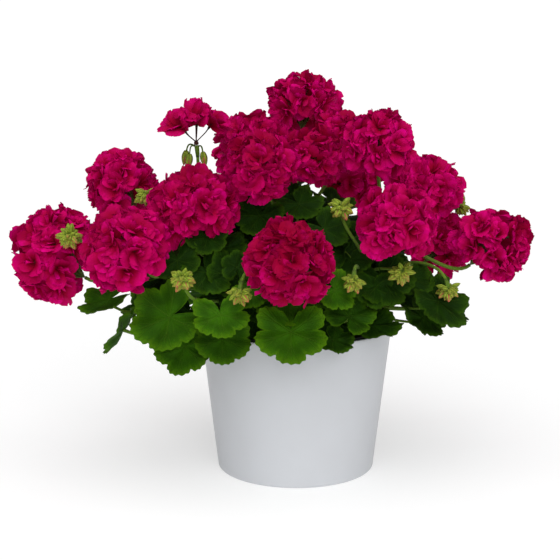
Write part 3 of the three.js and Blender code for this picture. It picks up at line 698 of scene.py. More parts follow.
class Graph:
    """Builds one material's nodes."""

    MIX_LOW = 6
    MIX_HIGH = 7
    MIX_COLOUR = 2

    def __init__(self, name: str) -> None:
        """Starts a material with its principled shader and output.

        Args:
            name: The material's name.
        """
        self.material = bpy.data.materials.new(name)
        self.material.use_nodes = True
        self.tree = self.material.node_tree
        self.tree.nodes.clear()
        self.shader = self.node("ShaderNodeBsdfPrincipled")
        output = self.node("ShaderNodeOutputMaterial")
        self.tree.links.new(self.shader.outputs["BSDF"], output.inputs["Surface"])

    def node(
        self, kind: str, settings: dict | None = None, inputs: dict | None = None
    ) -> bpy.types.Node:
        """Adds a node.

        Args:
            kind: The node's type.
            settings: Its settings, which are set before its sockets.
            inputs: Values or links for its input sockets, by name or index.

        Returns:
            The new node.
        """
        node = self.tree.nodes.new(kind)
        for key, value in (settings or {}).items():
            setattr(node, key, value)
        for key, value in (inputs or {}).items():
            self.feed(node.inputs[key], value)
        return node

    def feed(self, socket: bpy.types.NodeSocket, value: "Operand | Colour") -> None:
        """Links a value into a socket, or sets the socket to it.

        Args:
            socket: The input socket.
            value: The value, number or colour that it gets.
        """
        if isinstance(value, Value):
            self.tree.links.new(value.socket, socket)
        elif isinstance(value, tuple) and socket.type == "RGBA":
            socket.default_value = (*value, 1.0)
        else:
            socket.default_value = value

    def math(self, operation: str, *terms: Operand) -> Value:
        """Adds a Math node and gives its result."""
        node = self.node("ShaderNodeMath", {"operation": operation}, dict(enumerate(terms)))
        return Value(self, node.outputs[0])

    def paint(self) -> tuple[Value, Value, Value, Value]:
        """Reads the four paint values of the mesh.

        Returns:
            The values, in the order in which the pieces hold them.
        """
        source = self.node("ShaderNodeAttribute", {"attribute_name": Sketch.PAINT})
        colour = Value(self, source.outputs["Color"])
        parts = self.node("ShaderNodeSeparateColor", None, {"Color": colour})
        red, green, blue = (Value(self, parts.outputs[i]) for i in range(3))
        return red, green, blue, Value(self, source.outputs["Alpha"])

    def place(self) -> Value:
        """Gives the object's own coordinates."""
        return Value(self, self.node("ShaderNodeTexCoord").outputs["Object"])

    def noise(self, scale: float, detail: float = 3.0, rough: float = 0.55) -> Value:
        """Gives a cloudy pattern.

        Args:
            scale: Its scale, per metre.
            detail: Its levels of detail.
            rough: How strong the finer levels are.

        Returns:
            A value round 0.5.
        """
        inputs = {"Vector": self.place(), "Scale": scale, "Detail": detail, "Roughness": rough}
        return Value(self, self.node("ShaderNodeTexNoise", None, inputs).outputs[0])

    def cells(self, scale: float, feature: str = "DISTANCE_TO_EDGE") -> Value:
        """Gives a pattern of small cells.

        Args:
            scale: Its scale, per metre.
            feature: What it measures: the way to a cell's edge, or F1 for the way to its middle.

        Returns:
            The distance.
        """
        inputs = {"Vector": self.place(), "Scale": scale}
        node = self.node("ShaderNodeTexVoronoi", {"feature": feature}, inputs)
        return Value(self, node.outputs["Distance"])

    def mix(self, factor: Operand, low: "Value | Colour", high: "Value | Colour") -> Value:
        """Mixes two colours.

        Args:
            factor: The share of the second, from 0 to 1.
            low: The first colour.
            high: The second colour.

        Returns:
            The mixed colour.
        """
        inputs = {"Factor": factor, self.MIX_LOW: low, self.MIX_HIGH: high}
        node = self.node("ShaderNodeMix", {"data_type": "RGBA"}, inputs)
        return Value(self, node.outputs[self.MIX_COLOUR])

    def bump(self, height: Value, strength: float, distance: float) -> None:
        """Feeds a height into the shader's normal.

        Args:
            height: The height.
            strength: How strong the relief is, from 0 to 1.
            distance: How far the height reaches, in metres.
        """
        inputs = {"Height": height, "Strength": strength, "Distance": distance}
        node = self.node("ShaderNodeBump", None, inputs)
        self.feed(self.shader.inputs["Normal"], Value(self, node.outputs[0]))

    def set(self, **values: "Operand | Colour") -> None:
        """Sets or links the shader's sockets, by name with _ for a space."""
        for key, value in values.items():
            self.feed(self.shader.inputs[key.replace("_", " ")], value)


@dataclass(frozen=True)
class PetalFinish:
    """Velvety magenta petals, painted redder and darker towards the throat as shade in the floret's
    hollow, pinker towards the tips as a painted highlight, and glowing faintly as painted light.
    """

    throat: Colour = (0.14, 0.0, 0.007)
    shade: Colour = (0.2, 0.0, 0.016)
    middle: Colour = (0.27, 0.0, 0.023)
    deep_rim: Colour = (0.225, 0.0, 0.023)
    rim: Colour = (0.46, 0.0, 0.1)
    highlight_blush: Colour = (0.58, 0.0, 0.19)
    glow: float = 0.17

    def make(self) -> bpy.types.Material:
        """Builds the material.

        Returns:
            The material, ready for its pieces.
        """
        g = Graph("petal")
        along, across, tone, pink = g.paint()
        cloud = g.noise(220, 2)
        # Painted shade: the petal darkens to its throat colour at the base, in the floret's hollow.
        colour = g.mix(along.band(0.05, 0.5), self.throat, self.middle)
        # Painted light: the pink value, high on florets at the ball's rim and on heads in the
        # light, brightens the rim colour from deep red to pink, and the tips take it on as a
        # painted highlight.
        rim = g.mix(pink, self.deep_rim, self.rim)
        colour = g.mix((along + 0.35 * (cloud - 0.5)).band(0.35, 1.0), colour, rim)
        # Painted highlight: patches of brighter magenta blush towards the tips, at random per
        # petal, stronger on the pinker florets.
        highlight_blush = (tone * along).band(0.35, 1.0) * cloud.band(0.35, 0.7)
        colour = g.mix(highlight_blush * (0.4 + 0.4 * pink), colour, self.highlight_blush)
        colour = g.mix(tone.band(0.4, 0.0) * 0.5, colour, self.shade)
        fan = (across - 0.5) / (0.35 + 0.65 * along)
        streak = g.math("SINE", fan * 60 + tone * 20 + g.noise(500, 1) * 3)
        veins = streak.band(0.35, 1.0) * along.band(1.0, 0.3)
        colour = g.mix(veins * 0.3, colour, self.throat)
        g.set(Base_Color=colour, Roughness=0.62 + 0.12 * cloud, Specular_IOR_Level=0.04)
        # Painted light: the petals glow faintly in their own colour, which lifts their shade like
        # light through thin petals.
        g.set(Emission_Color=colour, Emission_Strength=self.glow)
        g.bump(streak * 0.4 + g.cells(2600) * 2 + cloud * 2, 0.3, 0.0003)
        return g.material


@dataclass(frozen=True)
class LeafFinish:
    """Soft matt leaves: green, with lighter veins and a yellower margin, and painted light and
    shade in each leaf's tone.
    """

    dark: Colour = (0.006, 0.024, 0.0008)
    mid: Colour = (0.036, 0.13, 0.0012)
    margin: Colour = (0.085, 0.2, 0.003)
    vein: Colour = (0.075, 0.17, 0.01)
    spacing: float = 62.0
    forks: tuple[float, ...] = (0.42, 0.42, 0.66, 0.95)

    def make(self) -> bpy.types.Material:
        """Builds the material.

        Returns:
            The material, ready for its pieces.
        """
        g = Graph("leaf")
        px, py, tone, share = g.paint()
        x = px * 2 - 1
        y = py * 2 - 1
        angle = g.math("ARCTAN2", y, x) * (180 / math.pi)
        turn = g.math("WRAP", angle / self.spacing, 0.5, -0.5)
        bend = turn * math.radians(self.spacing)
        radius = (x * x + y * y) ** 0.5
        side = g.math("ABSOLUTE", bend) * radius
        cloud = g.noise(90, 3)
        fine = g.noise(600, 2)
        main = side.band(0.02, 0.004) * radius.band(1.05, 0.5)
        fork_at, fork_slope, twig_at, twig_slope = self.forks
        fork_way = g.math("ABSOLUTE", side - (radius - fork_at) * fork_slope)
        fork = fork_way.band(0.016, 0.003) * radius.band(fork_at, fork_at + 0.04)
        twig_way = g.math("ABSOLUTE", side - (radius - twig_at) * twig_slope)
        twig = twig_way.band(0.014, 0.003) * radius.band(twig_at, twig_at + 0.04)
        veins = (main + fork * 0.7 + twig * 0.5).clamped()
        net = g.cells(520).band(0.12, 0.0)
        # Painted light and shade: the leaf's tone, lighter on lit shoots and darker high under the
        # heads and deep inside the plant, sets how dark its green is.
        colour = g.mix((tone + 0.7 * (cloud - 0.5)).band(-0.15, 1.0), self.dark, self.mid)
        zone = (share + 0.2 * (cloud - 0.5)).band(0.3, 0.55) * share.band(0.85, 0.6)
        colour = g.mix(zone * 0.35, colour, self.dark)
        edge = (share + 0.25 * (fine - 0.5)).band(0.72, 1.04) * (tone * 0.6 + 0.25)
        colour = g.mix(edge.clamped(), colour, self.margin)
        pale = (tone * 0.5 + 0.4).clamped()
        colour = g.mix(net * pale * 0.12, colour, self.vein)
        colour = g.mix(veins * pale * 0.42, colour, self.vein)
        g.set(Base_Color=colour, Roughness=0.5 + 0.2 * fine, Specular_IOR_Level=0.06)
        relief = fine * 0.5 + net * -0.6 + veins * -1.5 + cloud * 1.2
        g.bump(relief, 0.75, 0.0008)
        return g.material


@dataclass(frozen=True)
class StalkFinish:
    """Softly hairy stalks, of one colour where they start and another where they end."""

    name: str
    low: Colour
    high: Colour

    def make(self) -> bpy.types.Material:
        """Builds the material.

        Returns:
            The material, ready for its pieces.
        """
        g = Graph(self.name)
        along, around, tone, _ = g.paint()
        cloud = g.noise(300, 3)
        mixed = (along + 0.5 * (cloud - 0.5) + 0.3 * (tone - 0.5)).clamped()
        colour = g.mix(mixed, self.low, self.high)
        streak = g.math("SINE", around * 50 + cloud * 4)
        g.set(Base_Color=colour, Roughness=0.55 + 0.15 * cloud, Specular_IOR_Level=0.15)
        g.set(Sheen_Weight=0.05, Sheen_Roughness=0.4)
        g.bump(streak * 0.5 + g.noise(2500, 1), 0.4, 0.0003)
        return g.material


@dataclass(frozen=True)
class BudFinish:
    """Yellow-green sepals with pink petals showing between their edges."""

    sepal: Colour = (0.3, 0.37, 0.035)
    shade: Colour = (0.12, 0.19, 0.012)
    pink: Colour = (0.55, 0.02, 0.08)

    def make(self) -> bpy.types.Material:
        """Builds the material.

        Returns:
            The material, ready for its pieces.
        """
        g = Graph("bud")
        along, around, tone, ripe = g.paint()
        cloud = g.noise(400, 2)
        ridge = g.math("COSINE", around * (FULL_TURN * 5))
        # Darker in cloudy patches and a little in the grooves between the ridges; the darkening in
        # the grooves is painted shade.
        colour = g.mix((cloud + ridge * 0.2).band(0.3, 0.8), self.shade, self.sepal)
        gap = (ridge * -1).band(0.1, 0.9) * along.band(0.3, 0.5) * ripe
        tip = (along + 0.2 * (cloud - 0.5)).band(0.75, 0.95) * ripe
        colour = g.mix((gap * 0.8 + tip * 0.5).clamped(), colour, self.pink)
        g.set(Base_Color=colour, Roughness=0.6 + 0.1 * tone, Specular_IOR_Level=0.15)
        g.set(Sheen_Weight=0.06, Sheen_Roughness=0.4)
        g.bump(ridge * 0.6 + g.noise(2200, 1), 0.4, 0.0003)
        return g.material


@dataclass(frozen=True)
class PotFinish:
    """Smooth satin white of the cover pot."""

    colour: Colour = (0.535, 0.55, 0.577)
    dust: Colour = (0.48, 0.49, 0.51)

    def make(self) -> bpy.types.Material:
        """Builds the material.

        Returns:
            The material, ready for its pieces.
        """
        g = Graph("cover pot white")
        cloud = g.noise(14, 4)
        fine = g.noise(900, 2)
        g.set(Base_Color=g.mix(cloud.band(0.35, 0.75) * 0.35, self.colour, self.dust))
        g.set(Roughness=0.38 + 0.08 * fine, Specular_IOR_Level=0.45)
        g.bump(fine + cloud * 4, 0.12, 0.0003)
        return g.material


@dataclass(frozen=True)
class NurseryFinish:
    """Thin black moulded plastic with scuffs."""

    colour: Colour = (0.006, 0.006, 0.007)
    scuff: Colour = (0.045, 0.045, 0.05)

    def make(self) -> bpy.types.Material:
        """Builds the material.

        Returns:
            The material, ready for its pieces.
        """
        g = Graph("nursery pot black")
        cloud = g.noise(60, 4)
        fine = g.noise(1200, 2)
        worn = (cloud * 0.6 + fine * 0.4).band(0.5, 0.8) * 0.5
        g.set(Base_Color=g.mix(worn, self.colour, self.scuff))
        g.set(Roughness=0.35 + 0.3 * cloud)
        g.bump(fine + cloud * 2, 0.25, 0.0003)
        return g.material


@dataclass(frozen=True)
class SoilFinish:
    """Dark crumbly potting compost."""

    dark: Colour = (0.008, 0.005, 0.003)
    mid: Colour = (0.035, 0.022, 0.013)
    fibre: Colour = (0.11, 0.07, 0.04)

    def make(self) -> bpy.types.Material:
        """Builds the material.

        Returns:
            The material, ready for its pieces.
        """
        g = Graph("compost")
        cloud = g.noise(160, 5, 0.7)
        crumb = g.cells(420, "F1")
        colour = g.mix(cloud.band(0.3, 0.7), self.dark, self.mid)
        colour = g.mix(g.noise(900, 3).band(0.62, 0.75) * 0.7, colour, self.fibre)
        g.set(Base_Color=colour, Roughness=0.92, Specular_IOR_Level=0.15)
        g.bump(cloud * 2 - crumb * 2, 0.9, 0.0015)
        return g.material


@dataclass(frozen=True)
class FloorFinish:
    """Plain white studio floor."""

    colour: Colour = (0.53, 0.53, 0.53)
    patch: Colour = (0.57, 0.57, 0.57)
    white: Colour = (1.0, 1.0, 1.0)
    glow: float = 0.52

    def make(self) -> bpy.types.Material:
        """Builds the material.

        Returns:
            The material, ready for its pieces.
        """
        g = Graph("floor white")
        g.set(Base_Color=g.mix(g.noise(3, 2) * 0.02, self.colour, self.patch))
        g.set(Roughness=0.8, Specular_IOR_Level=0.1)
        g.set(Emission_Color=self.white, Emission_Strength=self.glow)
        return g.material


class Finishes:
    """Every material of the plant, made once."""

    def __init__(self) -> None:
        """Builds the materials."""
        green = StalkFinish("stem green", (0.055, 0.1, 0.012), (0.12, 0.22, 0.018))
        ruddy = StalkFinish("floret stalk", (0.1, 0.16, 0.03), (0.09, 0.03, 0.02))
        dark = StalkFinish("bare floret stalk", (0.06, 0.02, 0.012), (0.035, 0.006, 0.007))
        self.petal = PetalFinish().make()
        self.leaf = LeafFinish().make()
        self.stem = green.make()
        self.pedicel = ruddy.make()
        self.bare_pedicel = dark.make()
        self.bud = BudFinish().make()
        self.pot = PotFinish().make()
        self.nursery = NurseryFinish().make()
        self.soil = SoilFinish().make()


class Layer(Enum):
    """The layers of petals of a double floret: petals, length, width and opening in degrees."""

    BACK = (2, 16.0, 15.0, 104.0)
    OUTER = (5, 15.5, 15.0, 80.0)
    MIDDLE = (3, 13.0, 12.5, 58.0)
    INNER = (2, 9.0, 8.5, 32.0)


@dataclass
class Petal:
    """One petal: a thin closed blade on a narrow claw, cupped, ruffled and notched."""

    length: float
    width: float
    opening: float
    phase: float
    ruffle: float
    cup: float
    steps: int = 4
    strips: int = 6
    thickness: float = 0.35
    claw: float = 0.2
    widest: float = 0.62
    tip_round: float = 0.395
    notch: float = 0.05
    notch_width: float = 0.25
    nicks: float = 0.035
    nick_waves: float = 9.0
    early_lean: float = 0.45
    ruffle_waves: float = 4.8

    def grid(self) -> tuple[Array, Array]:
        """Gives the shares along and across of the blade's corners, one row along each."""
        rows = np.sin(0.5 * math.pi * np.linspace(0, 1, self.steps + 1)) ** 1.15
        return tuple(np.meshgrid(rows, np.linspace(-1, 1, self.strips + 1), indexing="ij"))

    def faces(self) -> tuple[Array, Array]:
        """Joins the corners of both sides.

        Returns:
            The faces, and a table of the corners that the underside has of its own.
        """
        rows, cols = self.steps + 1, self.strips + 1
        top = np.arange(rows * cols).reshape(rows, cols)
        inner = np.zeros((rows, cols), bool)
        inner[1:-1, 1:-1] = True
        under = top.copy()
        under[inner] = rows * cols + np.arange(inner.sum())
        sides = []
        for index, flip in ((top, False), (under, True)):
            quad = [index[:-1, :-1], index[1:, :-1], index[1:, 1:], index[:-1, 1:]]
            quad = quad[::-1] if flip else quad
            sides.append(np.stack([q.ravel() for q in quad], 1))
        return np.vstack(sides), inner

    def shape(self) -> tuple[Array, Array]:
        """Works out the blade, standing on the floret's base and opening along +X.

        Returns:
            The corners of both sides, and the shares along and across of each corner.
        """
        s, t = self.grid()
        near = np.sin(0.5 * math.pi * np.clip(s / self.widest, 0, 1)) ** 1.2
        far = np.clip(s - self.widest, 0, 1) / self.tip_round
        widen = self.claw + (1 - self.claw) * near
        half = 0.5 * self.width * widen * np.sqrt(np.clip(1 - far**2, 0, 1))
        cut = self.notch * np.exp(-((t / self.notch_width) ** 2))
        cut = cut + self.nicks * np.sin(self.nick_waves * t + self.phase)
        ticks = np.arange(self.steps + 1)
        shares = self.early_lean + (1 - self.early_lean) * np.linspace(0, 1, self.steps + 1)
        tilt = np.radians(self.opening) * shares
        step = self.length / self.steps
        between = (tilt[1:] + tilt[:-1]) / 2
        out = np.concatenate([[0], np.cumsum(np.sin(between))]) * step
        rise = np.concatenate([[0], np.cumsum(np.cos(between))]) * step
        at = s * (1 - cut * s) * self.steps
        x, z, lean = (np.interp(at, ticks, row) for row in (out, rise, tilt))
        wave = np.sin(self.ruffle_waves * t + self.phase)
        wave = wave + 0.3 * np.sin(self.nick_waves * t + 2 * self.phase)
        lift = self.cup * half * t * t + self.ruffle * s**2.2 * wave
        side = np.stack([-np.cos(lean), np.zeros_like(lean), np.sin(lean)], -1)
        middle = np.stack([x, half * t, z], -1) + lift[..., None] * side
        _, inner = self.faces()
        top = middle + (0.5 * self.thickness * inner)[..., None] * side
        under = (middle - 0.5 * self.thickness * side)[inner]
        paint = np.stack([s, 0.5 + 0.5 * t], -1)
        corners = np.vstack([top.reshape(-1, 3), under])
        return corners, np.vstack([paint.reshape(-1, 2), paint[inner]])


@dataclass
class Floret:
    """A double floret: layers of petals round its axis, on a calyx and a thin stalk."""

    LENGTHS = (0.84, 1.12)
    WIDTHS = (0.85, 1.12)
    OPENINGS = (-26, 20)
    RUFFLES = (0.4, 1.6)
    CUPS = (-0.4, 0.35)
    TURNS = (-0.2, 0.2)
    ROLLS = (-34, 34)
    LAYER_STEP = 0.7
    SEAT = 1.5
    CALYX_LENGTH = 4.5
    STALK_WIDTHS = (1, 1, 1, 1, 1.1, 2.4, 2.9)
    STALK = 1

    scale: float
    dice: Dice
    # How pink and bright the floret is painted, partly painted light.
    pink: float
    stalk_radius: float = 0.55

    def petals(self, sketch: Sketch, base: Array, frame3: Array, layers: Sequence[Layer]) -> None:
        """Adds the petals.

        Args:
            sketch: The piece that they join.
            base: Where the petals meet.
            frame3: The matrix that turns +Z to the floret's axis.
            layers: The layers that this floret has.
        """
        dice = self.dice
        turn = dice.roll(0, 360)
        for order, layer in enumerate(layers):
            count, length, width, opening = layer.value
            turn += 180 / count
            for k in range(count):
                petal = Petal(
                    length=length * self.scale * dice.roll(*self.LENGTHS),
                    width=width * self.scale * dice.roll(*self.WIDTHS),
                    opening=opening + dice.roll(*self.OPENINGS),
                    phase=dice.roll(0, FULL_TURN),
                    ruffle=self.scale * dice.roll(*self.RUFFLES),
                    cup=dice.roll(*self.CUPS),
                )
                corners, shares = petal.shape()
                twist = spin(UP, turn + 360 * (k + dice.roll(*self.TURNS)) / count)
                roll = spin(np.array([1.0, 0, 0]), dice.roll(*self.ROLLS))
                placed = corners @ roll.T @ twist.T
                placed[:, 2] += self.LAYER_STEP * order - self.SEAT
                faces, _ = petal.faces()
                rest = [dice.roll(0, 1), self.pink]
                paint = np.column_stack([shares, np.tile(rest, (len(corners), 1))])
                sketch.add(base + placed @ frame3.T, faces, paint)

    def stalk(self, sketch: Sketch, hub: Array, base: Array, axis: Array) -> None:
        """Adds the floret's stalk and its calyx cup, in the piece's second finish.

        Args:
            sketch: The piece that they join.
            hub: Where the stalk starts.
            base: Where the petals meet.
            axis: The floret's axis.
        """
        neck = base - self.CALYX_LENGTH * self.scale * axis
        run = np.linalg.norm(neck - hub)
        guide = hub + 0.4 * run * unit(neck - hub)
        line = Bend(hub, guide, neck - 0.3 * run * axis, neck).points(4)
        cup = [neck + 2 * self.scale * axis, base + 1.2 * self.scale * axis]
        radii = np.array(self.STALK_WIDTHS) * self.stalk_radius
        sketch.tube(np.vstack([line, *cup]), radii, 6, self.dice.roll(0, 1), self.STALK)


@dataclass
class FlowerHead:
    """A ball of double florets at the end of its flower stalk."""

    plan: HeadPlan
    axis: Array
    seed: int
    spread: float = 132.0
    stray: float = 0.05
    hub_ratio: float = 0.74
    base_drop: float = 11.5
    usual_spacing: float = 20.8
    finer: float = 1.28
    pink_spread: tuple[float, float] = (-0.18, 0.38)
    # Painted light: the span over which the outer florets turn pinker and brighter, for the ball's
    # bright rim.
    painted_rim_light: tuple[float, float] = (0.1, 0.7)
    facing_stray: float = 0.4
    drops: tuple[float, float] = (-2.5, 3)
    sizes: tuple[float, float] = (0.9, 1.08)

    @property
    def centre(self) -> Array:
        """The centre of the ball."""
        return np.array([self.plan.x, self.plan.y, self.plan.z], float)

    @property
    def spacing(self) -> float:
        """How far apart the florets' middles lie on the ball."""
        covered = FULL_TURN * self.plan.radius**2 * (1 - math.cos(math.radians(self.spread)))
        return math.sqrt(covered / self.florets)

    @property
    def florets(self) -> int:
        """How many florets the ball has."""
        return round(self.finer * self.plan.florets)

    def pink(self, site: Array) -> float:
        """Works out how pink a floret is: the outer ones are pinker and brighter, painted light for
        the ball's bright rim.

        Args:
            site: The floret's direction on the ball, with the ball's axis along +Z.

        Returns:
            Its pinkness, from 0 to 1.
        """
        low, high = self.pink_spread
        outer = float(smoothstep(np.array(1 - site[2]), *self.painted_rim_light))
        return min(max(self.plan.pink + low + (high - low) * outer, 0), 1)

    def build(self, finishes: Finishes) -> bpy.types.Object:
        """Makes the head.

        Args:
            finishes: The plant's materials.

        Returns:
            The piece that replaces the head's node.
        """
        dice = Dice(self.seed)
        sites = directions(self.florets, self.spread, dice, self.stray)
        upright = turn_between(UP, self.axis)
        scale = self.spacing / self.usual_spacing
        sketch = Sketch()
        squash = np.array([1, 1, self.plan.height])
        hub = self.centre - self.hub_ratio * self.plan.radius * self.axis * squash
        for site in sites:
            way = upright @ site
            facing = unit(unit(way / squash) + self.facing_stray * np.array(dice.stray()))
            drop = self.base_drop * scale + dice.roll(*self.drops)
            base = self.centre + self.plan.radius * way * squash - drop * way
            floret = Floret(scale * dice.roll(*self.sizes), dice, self.pink(site))
            floret.petals(sketch, base, turn_between(UP, facing), list(Layer))
            floret.stalk(sketch, hub, base, facing)
        name = self.plan.name
        looks = [finishes.petal, finishes.pedicel]
        return sketch.build(f"{name}_florets", name, "petal", looks, BLADE_EDGE)


@dataclass
class Bud:
    """A closed bud: ridged sepals that come to a point, on a thin bent stalk."""

    length: float
    radius: float
    ripe: float
    sides: int = 15
    rings: int = 8
    point: float = 0.12
    ridges: int = 5
    ridge_height: float = 0.12
    STALK = 1

    def body(self, sketch: Sketch, start: Array, end: Array, dice: Dice) -> None:
        """Adds the sepals and petals.

        Args:
            sketch: The piece that the bud joins.
            start: Where the stalk meets the bud.
            end: The point of its sepals.
            dice: The dice that sets its tone.
        """
        share = np.linspace(0, 1, self.rings + 1)
        line = start + share[:, None] * (end - start)
        radii = self.radius * np.sin(math.pi * np.clip(share * 0.9 + 0.1, 0, 1) ** 0.85) ** 0.75
        radii = np.maximum(radii, self.point)
        sketch.tube(line, radii, self.sides, dice.roll(0, 1))
        paint, corners = sketch.paint[-1], sketch.corners[-1]
        ridge = 1 + self.ridge_height * np.cos(FULL_TURN * self.ridges * paint[:-2, 1])
        middle = np.repeat(line, self.sides, axis=0)
        corners[:-2] = middle + (corners[:-2] - middle) * ridge[:, None]
        paint[:, 3] = self.ripe

    def hang(self, sketch: Sketch, root: Array, belly: Array, tip: Array, dice: Dice) -> None:
        """Adds a bud that nods on an arched stalk.

        Args:
            sketch: The piece that it joins.
            root: Where its stalk starts.
            belly: The middle of its widest part.
            tip: The point of its sepals.
            dice: The dice that sets its tone.
        """
        way = unit(tip - belly)
        top = tip - self.length * way
        out = unit((belly - root) * [1, 1, 0])
        reach = np.linalg.norm(top - root)
        guide = root + 0.7 * reach * out + 0.5 * reach * UP
        bend = Bend(root, guide, top - 0.6 * reach * way, top)
        sketch.tube(bend.points(8), np.full(9, 0.75), 6, dice.roll(0, 1), self.STALK)
        self.body(sketch, top - 0.4 * way, tip, dice)

    def add(self, sketch: Sketch, root: Array, way: Array, dice: Dice) -> None:
        """Adds a bud that points away from its cluster's hub.

        Args:
            sketch: The piece that it joins.
            root: Where its stalk starts.
            way: The way it points.
            dice: The dice that sets its tone.
        """
        neck = root + 0.26 * self.length * way
        line = np.array([root, neck])
        sketch.tube(line, np.array([0.7, 0.8]), 6, dice.roll(0, 1), self.STALK)
        self.body(sketch, neck - 0.3 * way, root + self.length * way, dice)


def bud_axis(lean: float, azimuth: float) -> Array:
    """Works out the way a bud cluster's stalk points at its hub.

    Args:
        lean: How far it leans from upright, in degrees.
        azimuth: The side that it leans to, 0 in front and 90 to the right.

    Returns:
        The unit vector.
    """
    out = math.sin(math.radians(lean))
    az = math.radians(azimuth)
    return np.array([out * math.sin(az), -out * math.cos(az), math.cos(math.radians(lean))])


@dataclass
class BudCluster:
    """A cluster of closed buds round a hub."""

    plan: BudPlan
    neck_line: Array
    spread: float = 125.0
    droop: float = 0.5
    bud_length: float = 12.5
    bud_radius: float = 2.7
    neck_radius: float = 1.7
    neck_swell: float = 1.35
    sizes: tuple[float, float] = (0.8, 1.1)
    filler_sizes: tuple[float, float] = (0.65, 0.98)
    fillers: int = 3

    def build(self, finishes: Finishes) -> bpy.types.Object:
        """Makes the cluster.

        Args:
            finishes: The plant's materials.

        Returns:
            The piece that replaces the cluster's node.
        """
        plan = self.plan
        dice = Dice(plan.buds * 13 + 5)
        hub = np.array([plan.x, plan.y, plan.z], float)
        upright = turn_between(UP, bud_axis(plan.lean, plan.azimuth))
        sketch = Sketch()
        top_radius = self.neck_radius * self.neck_swell
        radii = np.linspace(self.neck_radius, top_radius, len(self.neck_line))
        sketch.tube(self.neck_line, radii, 8, 0.5, 1, round_end=True)
        for site in directions(plan.buds, self.spread, dice, 0.08):
            way = unit(upright @ site - self.droop * UP)
            size = dice.roll(*self.sizes)
            ripe = dice.roll(0.2, 1) * (0.5 - 0.7 * way[2])
            bud = Bud(size * self.bud_length, size * self.bud_radius, ripe)
            bud.add(sketch, hub, way, dice)
        for site in directions(self.fillers * plan.buds, self.spread + 20, dice, 0.15):
            size = dice.roll(*self.filler_sizes)
            way = unit(upright @ site - self.droop * UP)
            ripe = 0.5 * dice.roll(0, 1) * (0.4 - 0.6 * way[2])
            bud = Bud(size * self.bud_length, 0.8 * self.bud_radius, ripe, sides=10, rings=6)
            bud.add(sketch, hub, way, dice)
        looks = [finishes.bud, finishes.stem]
        return sketch.build(f"{plan.name}_sepals", plan.name, "bud", looks)


